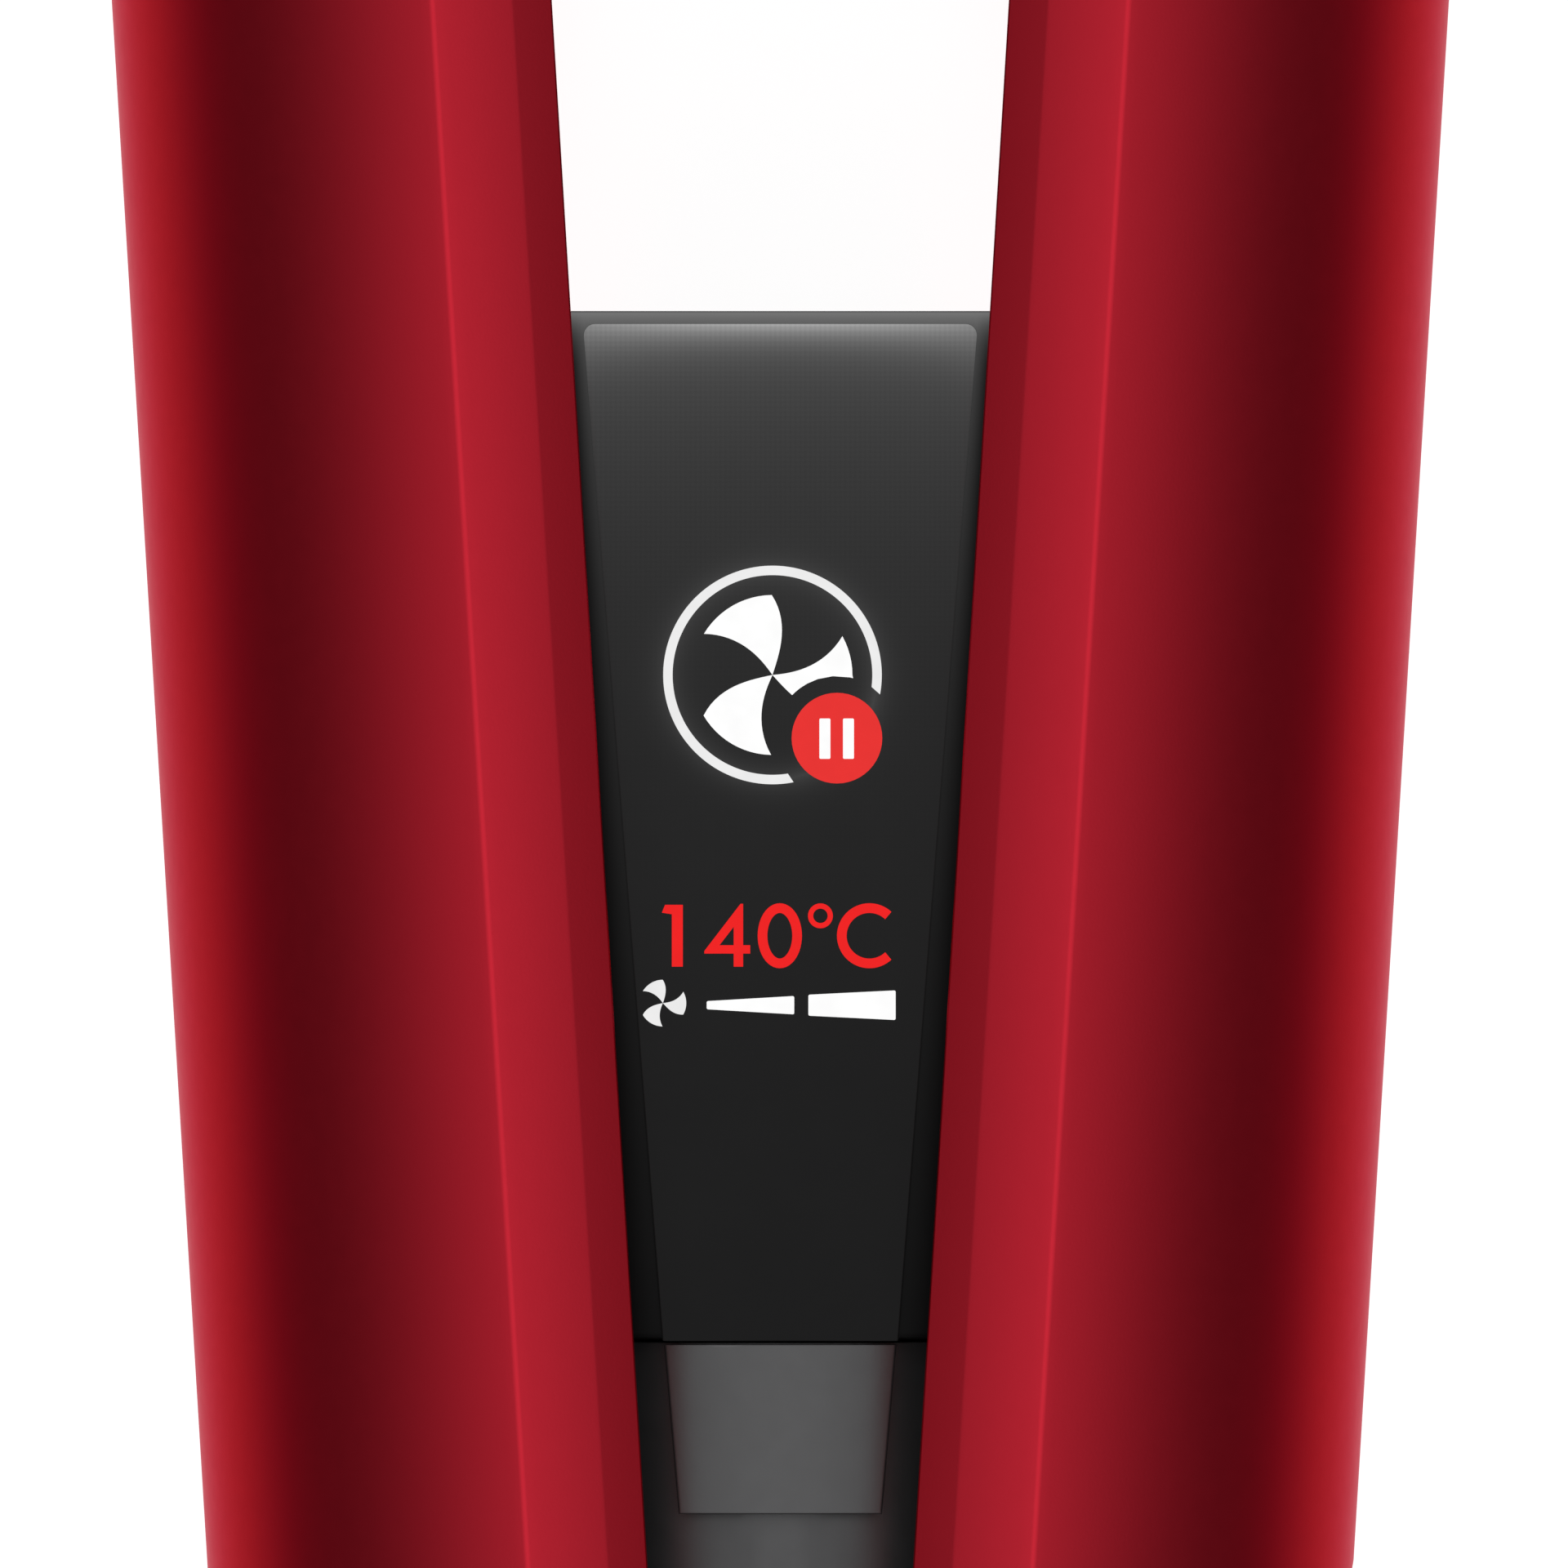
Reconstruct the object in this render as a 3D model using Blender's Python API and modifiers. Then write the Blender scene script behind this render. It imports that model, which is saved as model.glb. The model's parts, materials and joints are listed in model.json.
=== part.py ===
"""Two-armed hot-air hair straightener, lying on its back with both arms open.

The scene is in metres, +Z up. The display faces +Z and the tips point to +Y. Dimensions below are
millimetres, measured from the middle of the hinge; the helpers turn them into metres. Arm pieces are
given as they lie when the arms are closed and parallel, for the right arm, with x as the distance
from the middle plane. The arm's empty then opens them.
"""

import math

import bmesh
import bpy
from mathutils import Matrix, Vector

MM = 0.001
GAP = 0.3

# Whole object
OPEN_DEG = 3.5
BODY_HALF_WIDTH = 19.9
CREASE_X = 7.55
CREASE_Z = 19.0
INNER_X = 3.0
TIP_Y = 240.0
TAIL_Y = -75.0
CENTRE_Y = 82.506

# Arm shells
SHELL_WALL = 1.8
SHELL_START_Y = -16.0
SHELL_END_Y = 234.0
LIP_BOTTOM_Z = 14.7
LIP_ROUND = 1.5
CHAMFER_DROP = 1.35
ARC_STEPS = 13
LIP_ROUND_END_DEG = 107

# Jaws on the inner side of each arm
COVER_START_Y = 88.0
COVER_THICKNESS = 1.6
JAW_FACE_X = 0.35
JAW_BACK_X = 2.7
JAW_START_Y = 98.0
JAW_END_Y = 230.0
JAW_HALF_HEIGHT = 9.0
AIR_SLOT_START_Y = 104.0
AIR_SLOT_END_Y = 224.0
AIR_SLOT_Z = 4.0
COVER_SLOT_HALF = 1.5
JAW_SLOT_HALF = 1.2
FRAME_FACE_X = 0.6
FRAME_CLEARANCE = 0.4
FRAME_WIDTH = 3.0

# Air path and heater inside each arm
DUCT_LOW = (9.6, 58.0, -7.5)
DUCT_HIGH = (16.0, 100.7, 7.5)
DUCT_WALL = 1.2
DUCT_INNER_X = 11.0
PORT_START_Y = 61.0
PORT_END_Y = 77.0
PORT_HALF_HEIGHT = 5.3
TRAY_LOW = (5.2, 101.0, -7.5)
TRAY_HIGH = (15.5, 229.0, 7.5)
TRAY_WALL = 1.2
FIN_COUNT = 16
FIN_PITCH = 7.2
FIN_LENGTH = 4.2
FIN_START_Y = 106.0
CORE_X = (7.0, 9.2, 13.5)
CORE_HEIGHT = 11.0

# Buttons on the arms' outer sides
RIGHT_BUTTON_YS = (19.0, 31.0)
LEFT_BUTTON_YS = (25.0,)
BUTTON_HOLE_RADIUS = 3.5
SWITCH_BOARD_LOW = (13.8, 17.0, -4.5)
SWITCH_BOARD_HIGH = (14.8, 33.0, 4.5)
END_PLATE_THICKNESS = 1.5
END_PLATE_BORE = 15.2
END_PLATE_SWEEP_DEG = 58

# Hinge
PIVOT_X = 9.0
PLATE_LOW_Z = 10.8
PLATE_HIGH_Z = 11.9
PLATE_OUTER_X = 13.4
PLATE_HALF_LENGTH = 7.0
PIN_RADIUS = 1.2
PIN_HOLE_RADIUS = 1.3
BOSS_RADIUS = 2.8
BOSS_TOP_Z = 10.5
BOSS_LOW_Z = 5.0
COLLAR_RADIUS = 10.6
COLLAR_BORE = 9.8
COLLAR_HALF_LENGTH = 6.0
PIN_HEAD_RADIUS = 2.4
PIN_HEAD_LOW_Z = 12.2
PIN_TOP_Z = 13.0
PIN_LOW_Z = 7.7
TOOTH_PITCH_DEG = 20.0
TOOTH_ROOT_RADIUS = 7.85
TOOTH_TIP_RADIUS = 9.75
TOOTH_ROOT_HALF_DEG = 6.6
TOOTH_TIP_HALF_DEG = 2.2
TOOTH_REACH_DEG = 35
SECTOR_HALF_DEG = 48
SPRING_THICKNESS = 0.5
SPRING_WIDTH = 6.0

# Neck and display
TUBE_RADIUS = 9.5
TUBE_BORE = 8.3
SLEEVE_RADIUS = 13.6
SLEEVE_BORE = 12.5
SLEEVE_START_Y = -16.9
SLEEVE_END_Y = 42.1
WINDOW_INNER_X = 3.0
WINDOW_HALF_LENGTH = 10.5
SLIDER_RADIUS = 14.4
SLIDER_BORE = 13.85
SLIDER_START_Y = 35.9
SLIDER_HALF_WIDTHS = (3.9, 4.4)
PEG_START_Y = 39.6
PEG_END_Y = 41.4
PEG_HALF_WIDTH = 1.0
LOCK_TRAVEL = 3.3
DISPLAY_START_Y = 42.4
DISPLAY_END_Y = 81.8
DISPLAY_HALF_WIDTHS = (7.0, 9.0)
DISPLAY_TOP_Z = 13.9
DISPLAY_SPLIT_Z = 8.5
LENS_START_Y = 43.0
LENS_END_Y = 81.3
LENS_HALF_WIDTHS = (4.45, 7.4)
LENS_LOW_Z = 13.0
LENS_TOP_Z = 14.15

# Rear end
HOUSING_RADIUS = 19.4
HOUSING_START_Y = -17.2
HOUSING_END_Y = -27.5
SPIGOT_END_Y = -31.0
SPIGOT_RADIUS = 17.2
SPIGOT_BORE = 15.6
HOUSING_BULKHEAD_Y = -19.6
POWER_BUTTON_Y = -22.4
FLAT_Z = 19.0
MOTOR_RADIUS = 13.3
MOTOR_BORE = 12.4
MOTOR_START_Y = -22.0
MOTOR_END_Y = -57.0
CAGE_BORE = 17.6
CAGE_START_Y = -28.0
CAGE_END_Y = -70.0
CAGE_WALL = 1.8
CAGE_HOLE_RADIUS = 6.8
CAGE_SLOTS = 20
CAGE_SLOT_SIZE = (4.4, 30.0, 2.2)
ROTOR_Y = -40.0
BEARING_YS = (-38.0, -55.0)
STATOR_YS = (-41.5, -51.5)
BLADES = 9
BLADE_TILT_DEG = 32
HOLES_ROUND = 6
GLAND_RADIUS = 6.2


def metres(*values):
    return tuple(value * MM for value in values)


def clear_scene():
    for obj in list(bpy.data.objects):
        bpy.data.objects.remove(obj)


def new_collection(name):
    collection = bpy.data.collections.new(name)
    bpy.context.scene.collection.children.link(collection)
    return collection


def new_material(name, colour, roughness, metallic=0.0):
    material = bpy.data.materials.new(name)
    material.use_nodes = True
    shader = material.node_tree.nodes["Principled BSDF"]
    shader.inputs["Base Color"].default_value = (*colour, 1.0)
    shader.inputs["Roughness"].default_value = roughness
    shader.inputs["Metallic"].default_value = metallic
    return material


clear_scene()
PARTS = new_collection("hair_straightener")
CUTTERS = new_collection("cutters")

RED = new_material("red_metallic", (0.36, 0.016, 0.028), 0.35, 0.6)
GREY = new_material("neck_grey", (0.09, 0.09, 0.09), 0.45)
BLACK = new_material("black_plastic", (0.012, 0.012, 0.012), 0.4)
GLASS = new_material("display_glass", (0.02, 0.02, 0.02), 0.1)
BOARD = new_material("circuit_board", (0.02, 0.12, 0.05), 0.5)
STEEL = new_material("steel", (0.55, 0.55, 0.56), 0.3, 1.0)
ALUMINIUM = new_material("aluminium", (0.7, 0.7, 0.72), 0.35, 1.0)
RUBBER = new_material("rubber", (0.02, 0.02, 0.02), 0.8)
MICA = new_material("mica", (0.42, 0.36, 0.26), 0.7)


# ---- building blocks -------------------------------------------------------------------------


def empty(name, location=(0, 0, 0), turn_deg=0.0, parent=None):
    """An axis or frame that pieces hang on. Its location is in millimetres."""
    frame = bpy.data.objects.new(name, None)
    frame.empty_display_size = 10 * MM
    frame.location = metres(*location)
    frame.rotation_euler.z = math.radians(turn_deg)
    frame.parent = parent
    PARTS.objects.link(frame)
    return frame


def place(name, mesh, parent, material=None, location=(0, 0, 0), rotation=(0, 0, 0)):
    """A mesh as a piece of the object, or as a cutter where it has no material."""
    obj = bpy.data.objects.new(name, mesh)
    obj.location = metres(*location)
    obj.rotation_euler = [math.radians(angle) for angle in rotation]
    obj.parent = parent
    if material is None:
        CUTTERS.objects.link(obj)
        obj.hide_render = True
        obj.display_type = "WIRE"
        return obj
    PARTS.objects.link(obj)
    mesh.materials.clear()
    mesh.materials.append(material)
    return obj


def finish(bm, name):
    bmesh.ops.recalc_face_normals(bm, faces=bm.faces)
    mesh = bpy.data.meshes.new(name)
    bm.to_mesh(mesh)
    bm.free()
    return mesh


def boxes(name, corners):
    """Separate boxes in one mesh, each from its lowest to its highest corner."""
    bm = bmesh.new()
    for low, high in corners:
        low, high = Vector(metres(*low)), Vector(metres(*high))
        size = Matrix.Diagonal((*(high - low), 1.0))
        bmesh.ops.create_cube(bm, size=1.0, matrix=Matrix.Translation((low + high) / 2) @ size)
    return finish(bm, name)


def cylinders(name, centres, radius, length, axis="Z", segments=24):
    """Separate cylinders in one mesh, all along one axis."""
    turns = {"X": Matrix.Rotation(math.pi / 2, 4, "Y"), "Y": Matrix.Rotation(math.pi / 2, 4, "X")}
    bm = bmesh.new()
    for centre in centres:
        matrix = Matrix.Translation(metres(*centre)) @ turns.get(axis, Matrix())
        bmesh.ops.create_cone(bm, cap_ends=True, segments=segments, radius1=radius * MM,
                              radius2=radius * MM, depth=length * MM, matrix=matrix)
    return finish(bm, name)


def turned(name, profile, parent, material=None, steps=32, location=(0, 0, 0), rotation=(-90, 0, 0)):
    """A profile of (radius, height) turned round its axis, which lies along Y unless rotated."""
    mesh = bpy.data.meshes.new(name)
    loop = profile[0][0] > 0
    edges = [(i, i + 1) for i in range(len(profile) - 1)] + [(len(profile) - 1, 0)] * loop
    mesh.from_pydata([metres(radius, 0, height) for radius, height in profile], edges, [])
    obj = place(name, mesh, parent, material, location, rotation)
    screw = obj.modifiers.new("turn", "SCREW")
    screw.steps = screw.render_steps = steps
    screw.use_merge_vertices = True
    screw.merge_threshold = 0.00001
    return obj


def ring(outer, inner, start, end):
    """The profile of a plain ring between two heights."""
    high, low = max(start, end), min(start, end)
    return [(outer, high), (outer, low), (inner, low), (inner, high)]


def outline(name, points, thickness, closed=True):
    """A flat outline given a thickness, or an open line drawn out into a ribbon."""
    curve = bpy.data.curves.new(name, "CURVE")
    curve.dimensions = "2D"
    curve.fill_mode = "BOTH" if closed else "NONE"
    curve.extrude = thickness * MM / 2
    spline = curve.splines.new("POLY")
    spline.points.add(len(points) - 1)
    for point, (x, y) in zip(spline.points, points):
        point.co = (x * MM, y * MM, 0, 1)
    spline.use_cyclic_u = closed
    guide = bpy.data.objects.new(name, curve)
    bpy.context.scene.collection.objects.link(guide)
    graph = bpy.context.evaluated_depsgraph_get()
    drawn = bpy.data.meshes.new_from_object(guide.evaluated_get(graph))
    bpy.data.objects.remove(guide)
    bm = bmesh.new()
    bm.from_mesh(drawn)
    bmesh.ops.remove_doubles(bm, verts=bm.verts, dist=0.000001)
    bpy.data.meshes.remove(drawn)
    if closed:
        return finish(bm, name)
    mesh = bpy.data.meshes.new(name)
    bm.to_mesh(mesh)
    bm.free()
    return mesh


def boolean(obj, other, operation="DIFFERENCE"):
    modifier = obj.modifiers.new(operation.lower(), "BOOLEAN")
    modifier.operation = operation
    modifier.object = other
    return obj


def bevel(obj, width, segments=2, angle_deg=35):
    modifier = obj.modifiers.new("edges", "BEVEL")
    modifier.width = width * MM
    modifier.segments = segments
    modifier.limit_method = "ANGLE"
    modifier.angle_limit = math.radians(angle_deg)
    return obj


def solidify(obj, thickness, offset=-1.0):
    modifier = obj.modifiers.new("wall", "SOLIDIFY")
    modifier.thickness = thickness * MM
    modifier.offset = offset
    modifier.use_even_offset = True
    return obj


def shade(obj):
    obj.data.shade_smooth()
    obj.data.set_sharp_from_angle(angle=math.radians(30))


def mirrored(obj, name, parent):
    """The left-hand twin of a finished right-hand piece, as its own mesh."""
    bpy.context.view_layer.update()
    graph = bpy.context.evaluated_depsgraph_get()
    mesh = bpy.data.meshes.new_from_object(obj.evaluated_get(graph))
    mesh.transform(Matrix.Diagonal((-1, 1, 1, 1)))
    mesh.flip_normals()
    mesh.name = name
    twin = bpy.data.objects.new(name, mesh)
    twin.location = (-obj.location.x, obj.location.y, obj.location.z)
    twin.rotation_euler = (obj.rotation_euler.x, -obj.rotation_euler.y, -obj.rotation_euler.z)
    twin.parent = parent
    PARTS.objects.link(twin)
    return twin


# ---- shared outlines -------------------------------------------------------------------------


def arc(centre, radius, start_deg, end_deg, steps):
    angles = [math.radians(start_deg + (end_deg - start_deg) * i / steps) for i in range(steps + 1)]
    return [(centre[0] + radius * math.cos(a), centre[1] + radius * math.sin(a)) for a in angles]


def outer_half_height():
    """Half height of the ellipse through the crease whose half width is the body's."""
    return CREASE_Z / math.sqrt(1 - (CREASE_X / BODY_HALF_WIDTH) ** 2)


def shell_front_half():
    """From the lip's lower edge over the crease to the outermost point, as (x, z)."""
    lip_top = CREASE_Z - CHAMFER_DROP - LIP_ROUND
    lip = [(INNER_X, LIP_BOTTOM_Z)]
    lip += arc((INNER_X + LIP_ROUND, lip_top), LIP_ROUND, 180, LIP_ROUND_END_DEG, 4)
    start = math.acos(CREASE_X / BODY_HALF_WIDTH)
    height = outer_half_height()
    angles = [start * (1 - i / ARC_STEPS) for i in range(ARC_STEPS + 1)]
    return lip + [(BODY_HALF_WIDTH * math.cos(a), height * math.sin(a)) for a in angles]


def shell_outline():
    """The whole C-section of an arm, from the front lip round to the back lip."""
    front = shell_front_half()
    return front + [(x, -z) for x, z in reversed(front[:-1])]


def tapered(half_widths, start_y, end_y, inset=0.0, corner=0.0):
    """A trapezoid in plan with rounded corners, narrow at its start."""
    narrow, wide = half_widths[0] - inset, half_widths[1] - inset
    low, high = start_y + inset, end_y - inset
    if corner == 0:
        return [(narrow, low), (wide, high), (-wide, high), (-narrow, low)]
    points = arc((narrow - corner, low + corner), corner, -90, 0, 3)
    points += arc((wide - corner, high - corner), corner, 0, 90, 3)
    points += arc((corner - wide, high - corner), corner, 90, 180, 3)
    return points + arc((corner - narrow, low + corner), corner, 180, 270, 3)


# ---- arms ------------------------------------------------------------------------------------


ORIGIN = empty("straightener_frame", (0, -CENTRE_Y, FLAT_Z))
RIGHT = empty("right_arm_axis", (PIVOT_X, 0, 0), -OPEN_DEG, ORIGIN)
LEFT = empty("left_arm_axis", (-PIVOT_X, 0, 0), OPEN_DEG, ORIGIN)
ARM_OFFSET = (-PIVOT_X, 0, 0)


def arm_piece(name, mesh, material=None, location=(0, 0, 0), rotation=(0, 0, 0)):
    """A right arm piece given in closed coordinates."""
    shifted = [offset + value for offset, value in zip(ARM_OFFSET, location)]
    return place(name, mesh, RIGHT, material, shifted, rotation)


def arm_shell(name, button_ys):
    length = SHELL_END_Y - SHELL_START_Y
    middle = (SHELL_END_Y + SHELL_START_Y) / 2
    mesh = outline(name, shell_outline(), length, closed=False)
    shell = arm_piece(name, mesh, RED, (0, middle, 0), (90, 0, 0))
    solidify(shell, SHELL_WALL)
    centres = [(BODY_HALF_WIDTH, y, 0) for y in button_ys]
    holes = cylinders(name + "_holes", centres, BUTTON_HOLE_RADIUS, 8, "X")
    boolean(shell, arm_piece(name + "_holes", holes))
    return shell


def tip_cap():
    """A solid D closing the arm's end, rounded towards the tip."""
    front = shell_front_half()[1:]
    points = front + [(x, -z) for x, z in reversed(front[:-1])]
    start = SHELL_END_Y + GAP
    mesh = outline("right_tip_cap", points, TIP_Y - start)
    cap = arm_piece("right_tip_cap", mesh, RED, (0, (TIP_Y + start) / 2, 0), (90, 0, 0))
    return bevel(cap, 1.6, 3, 60)


def slots(name, low_x, high_x, half_width):
    """Two long air slots, one each side of the arm's middle line."""
    corners = []
    for z in (-AIR_SLOT_Z, AIR_SLOT_Z):
        low = (low_x, AIR_SLOT_START_Y, z - half_width)
        corners.append((low, (high_x, AIR_SLOT_END_Y, z + half_width)))
    return arm_piece(name, boxes(name, corners))


def inner_cover():
    reach = LIP_BOTTOM_Z - GAP
    low = (INNER_X, COVER_START_Y, -reach)
    high = (INNER_X + COVER_THICKNESS, SHELL_END_Y - GAP, reach)
    cover = arm_piece("right_inner_cover", boxes("right_inner_cover", [(low, high)]), BLACK)
    return boolean(cover, slots("inner_cover_slots", 2, 6, COVER_SLOT_HALF))


def nozzle_plate():
    low = (JAW_FACE_X, JAW_START_Y, -JAW_HALF_HEIGHT)
    high = (JAW_BACK_X, JAW_END_Y, JAW_HALF_HEIGHT)
    mesh = boxes("right_nozzle_plate", [(low, high)])
    plate = bevel(arm_piece("right_nozzle_plate", mesh, ALUMINIUM), 0.8, 2)
    return boolean(plate, slots("nozzle_slots", 0, 4, JAW_SLOT_HALF))


def tension_frame():
    """A silicone loop round the nozzle plate, which presses on the hair."""
    inner = FRAME_CLEARANCE
    outer = FRAME_CLEARANCE + FRAME_WIDTH
    low = (FRAME_FACE_X, JAW_START_Y - outer, -JAW_HALF_HEIGHT - outer)
    high = (JAW_BACK_X, JAW_END_Y + outer, JAW_HALF_HEIGHT + outer)
    mesh = boxes("right_tension_frame", [(low, high)])
    frame = bevel(arm_piece("right_tension_frame", mesh, RUBBER), 0.7, 2)
    low = (0, JAW_START_Y - inner, -JAW_HALF_HEIGHT - inner)
    opening = boxes("tension_opening", [(low, (4, JAW_END_Y + inner, JAW_HALF_HEIGHT + inner))])
    return boolean(frame, arm_piece("tension_opening", opening))


def heater_tray():
    mesh = boxes("right_heater_tray", [(TRAY_LOW, TRAY_HIGH)])
    tray = arm_piece("right_heater_tray", mesh, MICA)
    low = (TRAY_LOW[0] - TRAY_WALL, TRAY_LOW[1] - TRAY_WALL, TRAY_LOW[2] + TRAY_WALL)
    hollow = boxes("tray_hollow", [(low, [high - TRAY_WALL for high in TRAY_HIGH])])
    return boolean(tray, arm_piece("tray_hollow", hollow))


def heater_core():
    """A bar with fins along its outer side."""
    spine, root, tip = CORE_X
    points = [(spine, FIN_START_Y)]
    for fin in range(FIN_COUNT):
        y = FIN_START_Y + fin * FIN_PITCH
        points += [(tip, y), (tip, y + FIN_LENGTH), (root, y + FIN_LENGTH), (root, y + FIN_PITCH)]
    points = points[:-2] + [(spine, points[-3][1])]
    mesh = outline("right_heater_core", points, CORE_HEIGHT)
    return arm_piece("right_heater_core", mesh, STEEL)


def air_duct():
    """Leads from the splitter's side port into the heater tray."""
    mesh = boxes("right_air_duct", [(DUCT_LOW, DUCT_HIGH)])
    duct = arm_piece("right_air_duct", mesh, BLACK)
    low = (DUCT_INNER_X, DUCT_LOW[1] + 2, DUCT_LOW[2] + DUCT_WALL)
    high = (DUCT_HIGH[0] - DUCT_WALL, DUCT_HIGH[1] + 4, DUCT_HIGH[2] - DUCT_WALL)
    hollows = boxes("duct_hollow", [(low, high)])
    low = (5, PORT_START_Y, -PORT_HALF_HEIGHT)
    mouth = boxes("duct_mouth", [(low, (12.5, PORT_END_Y, PORT_HALF_HEIGHT))])
    boolean(duct, arm_piece("duct_hollow", hollows))
    return boolean(duct, arm_piece("duct_mouth", mouth))


def end_plate():
    """A crescent that closes the handle end of the shell round the neck."""
    wall = SHELL_WALL + GAP
    wide, tall = BODY_HALF_WIDTH - wall, outer_half_height() - wall
    steps, reach = 14, END_PLATE_SWEEP_DEG
    sweep = [math.radians(reach - 2 * reach * i / steps) for i in range(steps + 1)]
    outer = [(wide * math.cos(a), tall * math.sin(a)) for a in sweep]
    inner = arc((0, 0), END_PLATE_BORE, -reach, reach, 12)
    mesh = outline("right_end_plate", outer + inner, END_PLATE_THICKNESS)
    middle = SHELL_START_Y + 0.8 * END_PLATE_THICKNESS
    return arm_piece("right_end_plate", mesh, BLACK, (0, middle, 0), (90, 0, 0))


def switch_board():
    mesh = boxes("right_switch_board", [(SWITCH_BOARD_LOW, SWITCH_BOARD_HIGH)])
    return arm_piece("right_switch_board", mesh, BOARD)


def side_button(name, y):
    """A round button on the arm's outer side with a retaining flange inside."""
    face, flange_top, flange_low = BODY_HALF_WIDTH + 0.4, 17.2, 16.4
    profile = [(0, face), (2.6, face), (3.1, BODY_HALF_WIDTH), (3.1, flange_top), (4.2, flange_top),
               (4.2, flange_low), (0, flange_low)]
    return turned(name, profile, RIGHT, BLACK, 24, (ARM_OFFSET[0], y, 0), (0, 90, 0))


def hinge_plate(name, side, parent, phase_deg, facing):
    """A flat plate in the arm, with gear teeth that mesh with the other arm's plate."""
    half = PLATE_HALF_LENGTH
    points = [(PIVOT_X, half), (PLATE_OUTER_X, half), (PLATE_OUTER_X, -half), (PIVOT_X, -half)]
    teeth = [phase_deg + TOOTH_PITCH_DEG * k for k in (-2, -1, 0, 1, 2)]
    teeth = [angle for angle in teeth if abs(angle) < TOOTH_REACH_DEG]
    polar = [(TOOTH_ROOT_RADIUS, -SECTOR_HALF_DEG)]
    for tooth in teeth:
        polar += [(TOOTH_ROOT_RADIUS, tooth - TOOTH_ROOT_HALF_DEG),
                  (TOOTH_TIP_RADIUS, tooth - TOOTH_TIP_HALF_DEG),
                  (TOOTH_TIP_RADIUS, tooth + TOOTH_TIP_HALF_DEG),
                  (TOOTH_ROOT_RADIUS, tooth + TOOTH_ROOT_HALF_DEG)]
    polar.append((TOOTH_ROOT_RADIUS, SECTOR_HALF_DEG))
    for radius, angle in polar:
        a = math.radians(angle)
        points.append((PIVOT_X - radius * math.cos(a), radius * math.sin(a)))
    local = [(side * (x - PIVOT_X), y) for x, y in points]
    middle = facing * (PLATE_LOW_Z + PLATE_HIGH_Z) / 2
    mesh = outline(name, local, PLATE_HIGH_Z - PLATE_LOW_Z)
    plate = place(name, mesh, parent, STEEL, (0, 0, middle))
    hole = cylinders(name + "_hole", [(0, 0, middle)], PIN_HOLE_RADIUS, 4)
    return boolean(plate, place(name + "_hole", hole, parent))


def build_arms():
    twins = [tip_cap(), inner_cover(), nozzle_plate(), tension_frame(), heater_tray(),
             heater_core(), air_duct(), end_plate(), switch_board()]
    arm_shell("right_arm_shell", RIGHT_BUTTON_YS)
    one_button_shell = arm_shell("one_button_shell", LEFT_BUTTON_YS)
    cool = side_button("cool_button_right_hand", LEFT_BUTTON_YS[0])
    for piece in twins:
        mirrored(piece, piece.name.replace("right_", "left_"), LEFT)
    for source, name in ((one_button_shell, "left_arm_shell"), (cool, "cool_button")):
        mirrored(source, name, LEFT)
        bpy.data.objects.remove(source)
    side_button("temperature_button", RIGHT_BUTTON_YS[0])
    side_button("airflow_button", RIGHT_BUTTON_YS[1])
    for side, parent, phase, label in ((1, RIGHT, 0, "right"), (-1, LEFT, 10, "left")):
        for facing, face in ((1, "front"), (-1, "back")):
            hinge_plate(f"{label}_hinge_plate_{face}", side, parent, phase, facing)


# ---- centre body -----------------------------------------------------------------------------


def air_tube():
    start = MOTOR_START_Y + 0.5
    return turned("air_tube", ring(TUBE_RADIUS, TUBE_BORE, start, SLEEVE_END_Y - 0.1), ORIGIN, BLACK, 32)


def hinge_collar():
    """A ring on the air tube with a boss for each hinge pin."""
    profile = ring(COLLAR_RADIUS, COLLAR_BORE, -COLLAR_HALF_LENGTH, COLLAR_HALF_LENGTH)
    collar = turned("hinge_collar", profile, ORIGIN, ALUMINIUM, 32)
    sides = [(side * PIVOT_X, facing) for side in (-1, 1) for facing in (-1, 1)]
    middle = (BOSS_LOW_Z + BOSS_TOP_Z) / 2
    centres = [(x, 0, facing * middle) for x, facing in sides]
    bosses = cylinders("collar_bosses", centres, BOSS_RADIUS, BOSS_TOP_Z - BOSS_LOW_Z)
    boolean(collar, place("collar_bosses", bosses, ORIGIN), "UNION")
    bore = cylinders("collar_bore", [(0, 0, 0)], COLLAR_BORE, 14, "Y", 32)
    boolean(collar, place("collar_bore", bore, ORIGIN))
    deep = [(x, 0, facing * (PIN_LOW_Z + 1.7)) for x, facing in sides]
    pockets = cylinders("collar_pockets", deep, PIN_HOLE_RADIUS, 4)
    return boolean(collar, place("collar_pockets", pockets, ORIGIN))


def hinge_pins():
    head = PIN_HEAD_RADIUS
    profile = [(0, PIN_TOP_Z), (head - 0.2, PIN_TOP_Z), (head, PIN_TOP_Z - 0.2), (head, PIN_HEAD_LOW_Z),
               (PIN_RADIUS, PIN_HEAD_LOW_Z), (PIN_RADIUS, PIN_LOW_Z), (0, PIN_LOW_Z)]
    for side, label in ((1, "right"), (-1, "left")):
        for turn, face in ((0, "front"), (180, "back")):
            name = f"{label}_hinge_pin_{face}"
            turned(name, profile, ORIGIN, STEEL, 20, (side * PIVOT_X, 0, 0), (turn, 0, 0))


def opening_springs():
    """A leaf from the collar to each arm's wall, which pushes the arm open."""
    points = [(11.2, -4), (11.2, 2.5)] + arc((13.2, 2.5), 2.0, 180, 122, 3)
    points += [(18.0, 13.0), (18.2, 13.6)]
    for side, label in ((1, "right"), (-1, "left")):
        drawn = [(side * x, y) for x, y in points]
        name = f"{label}_opening_spring"
        spring = place(name, outline(name, drawn, SPRING_WIDTH, closed=False), ORIGIN, STEEL)
        solidify(spring, SPRING_THICKNESS, 0.0)


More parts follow.
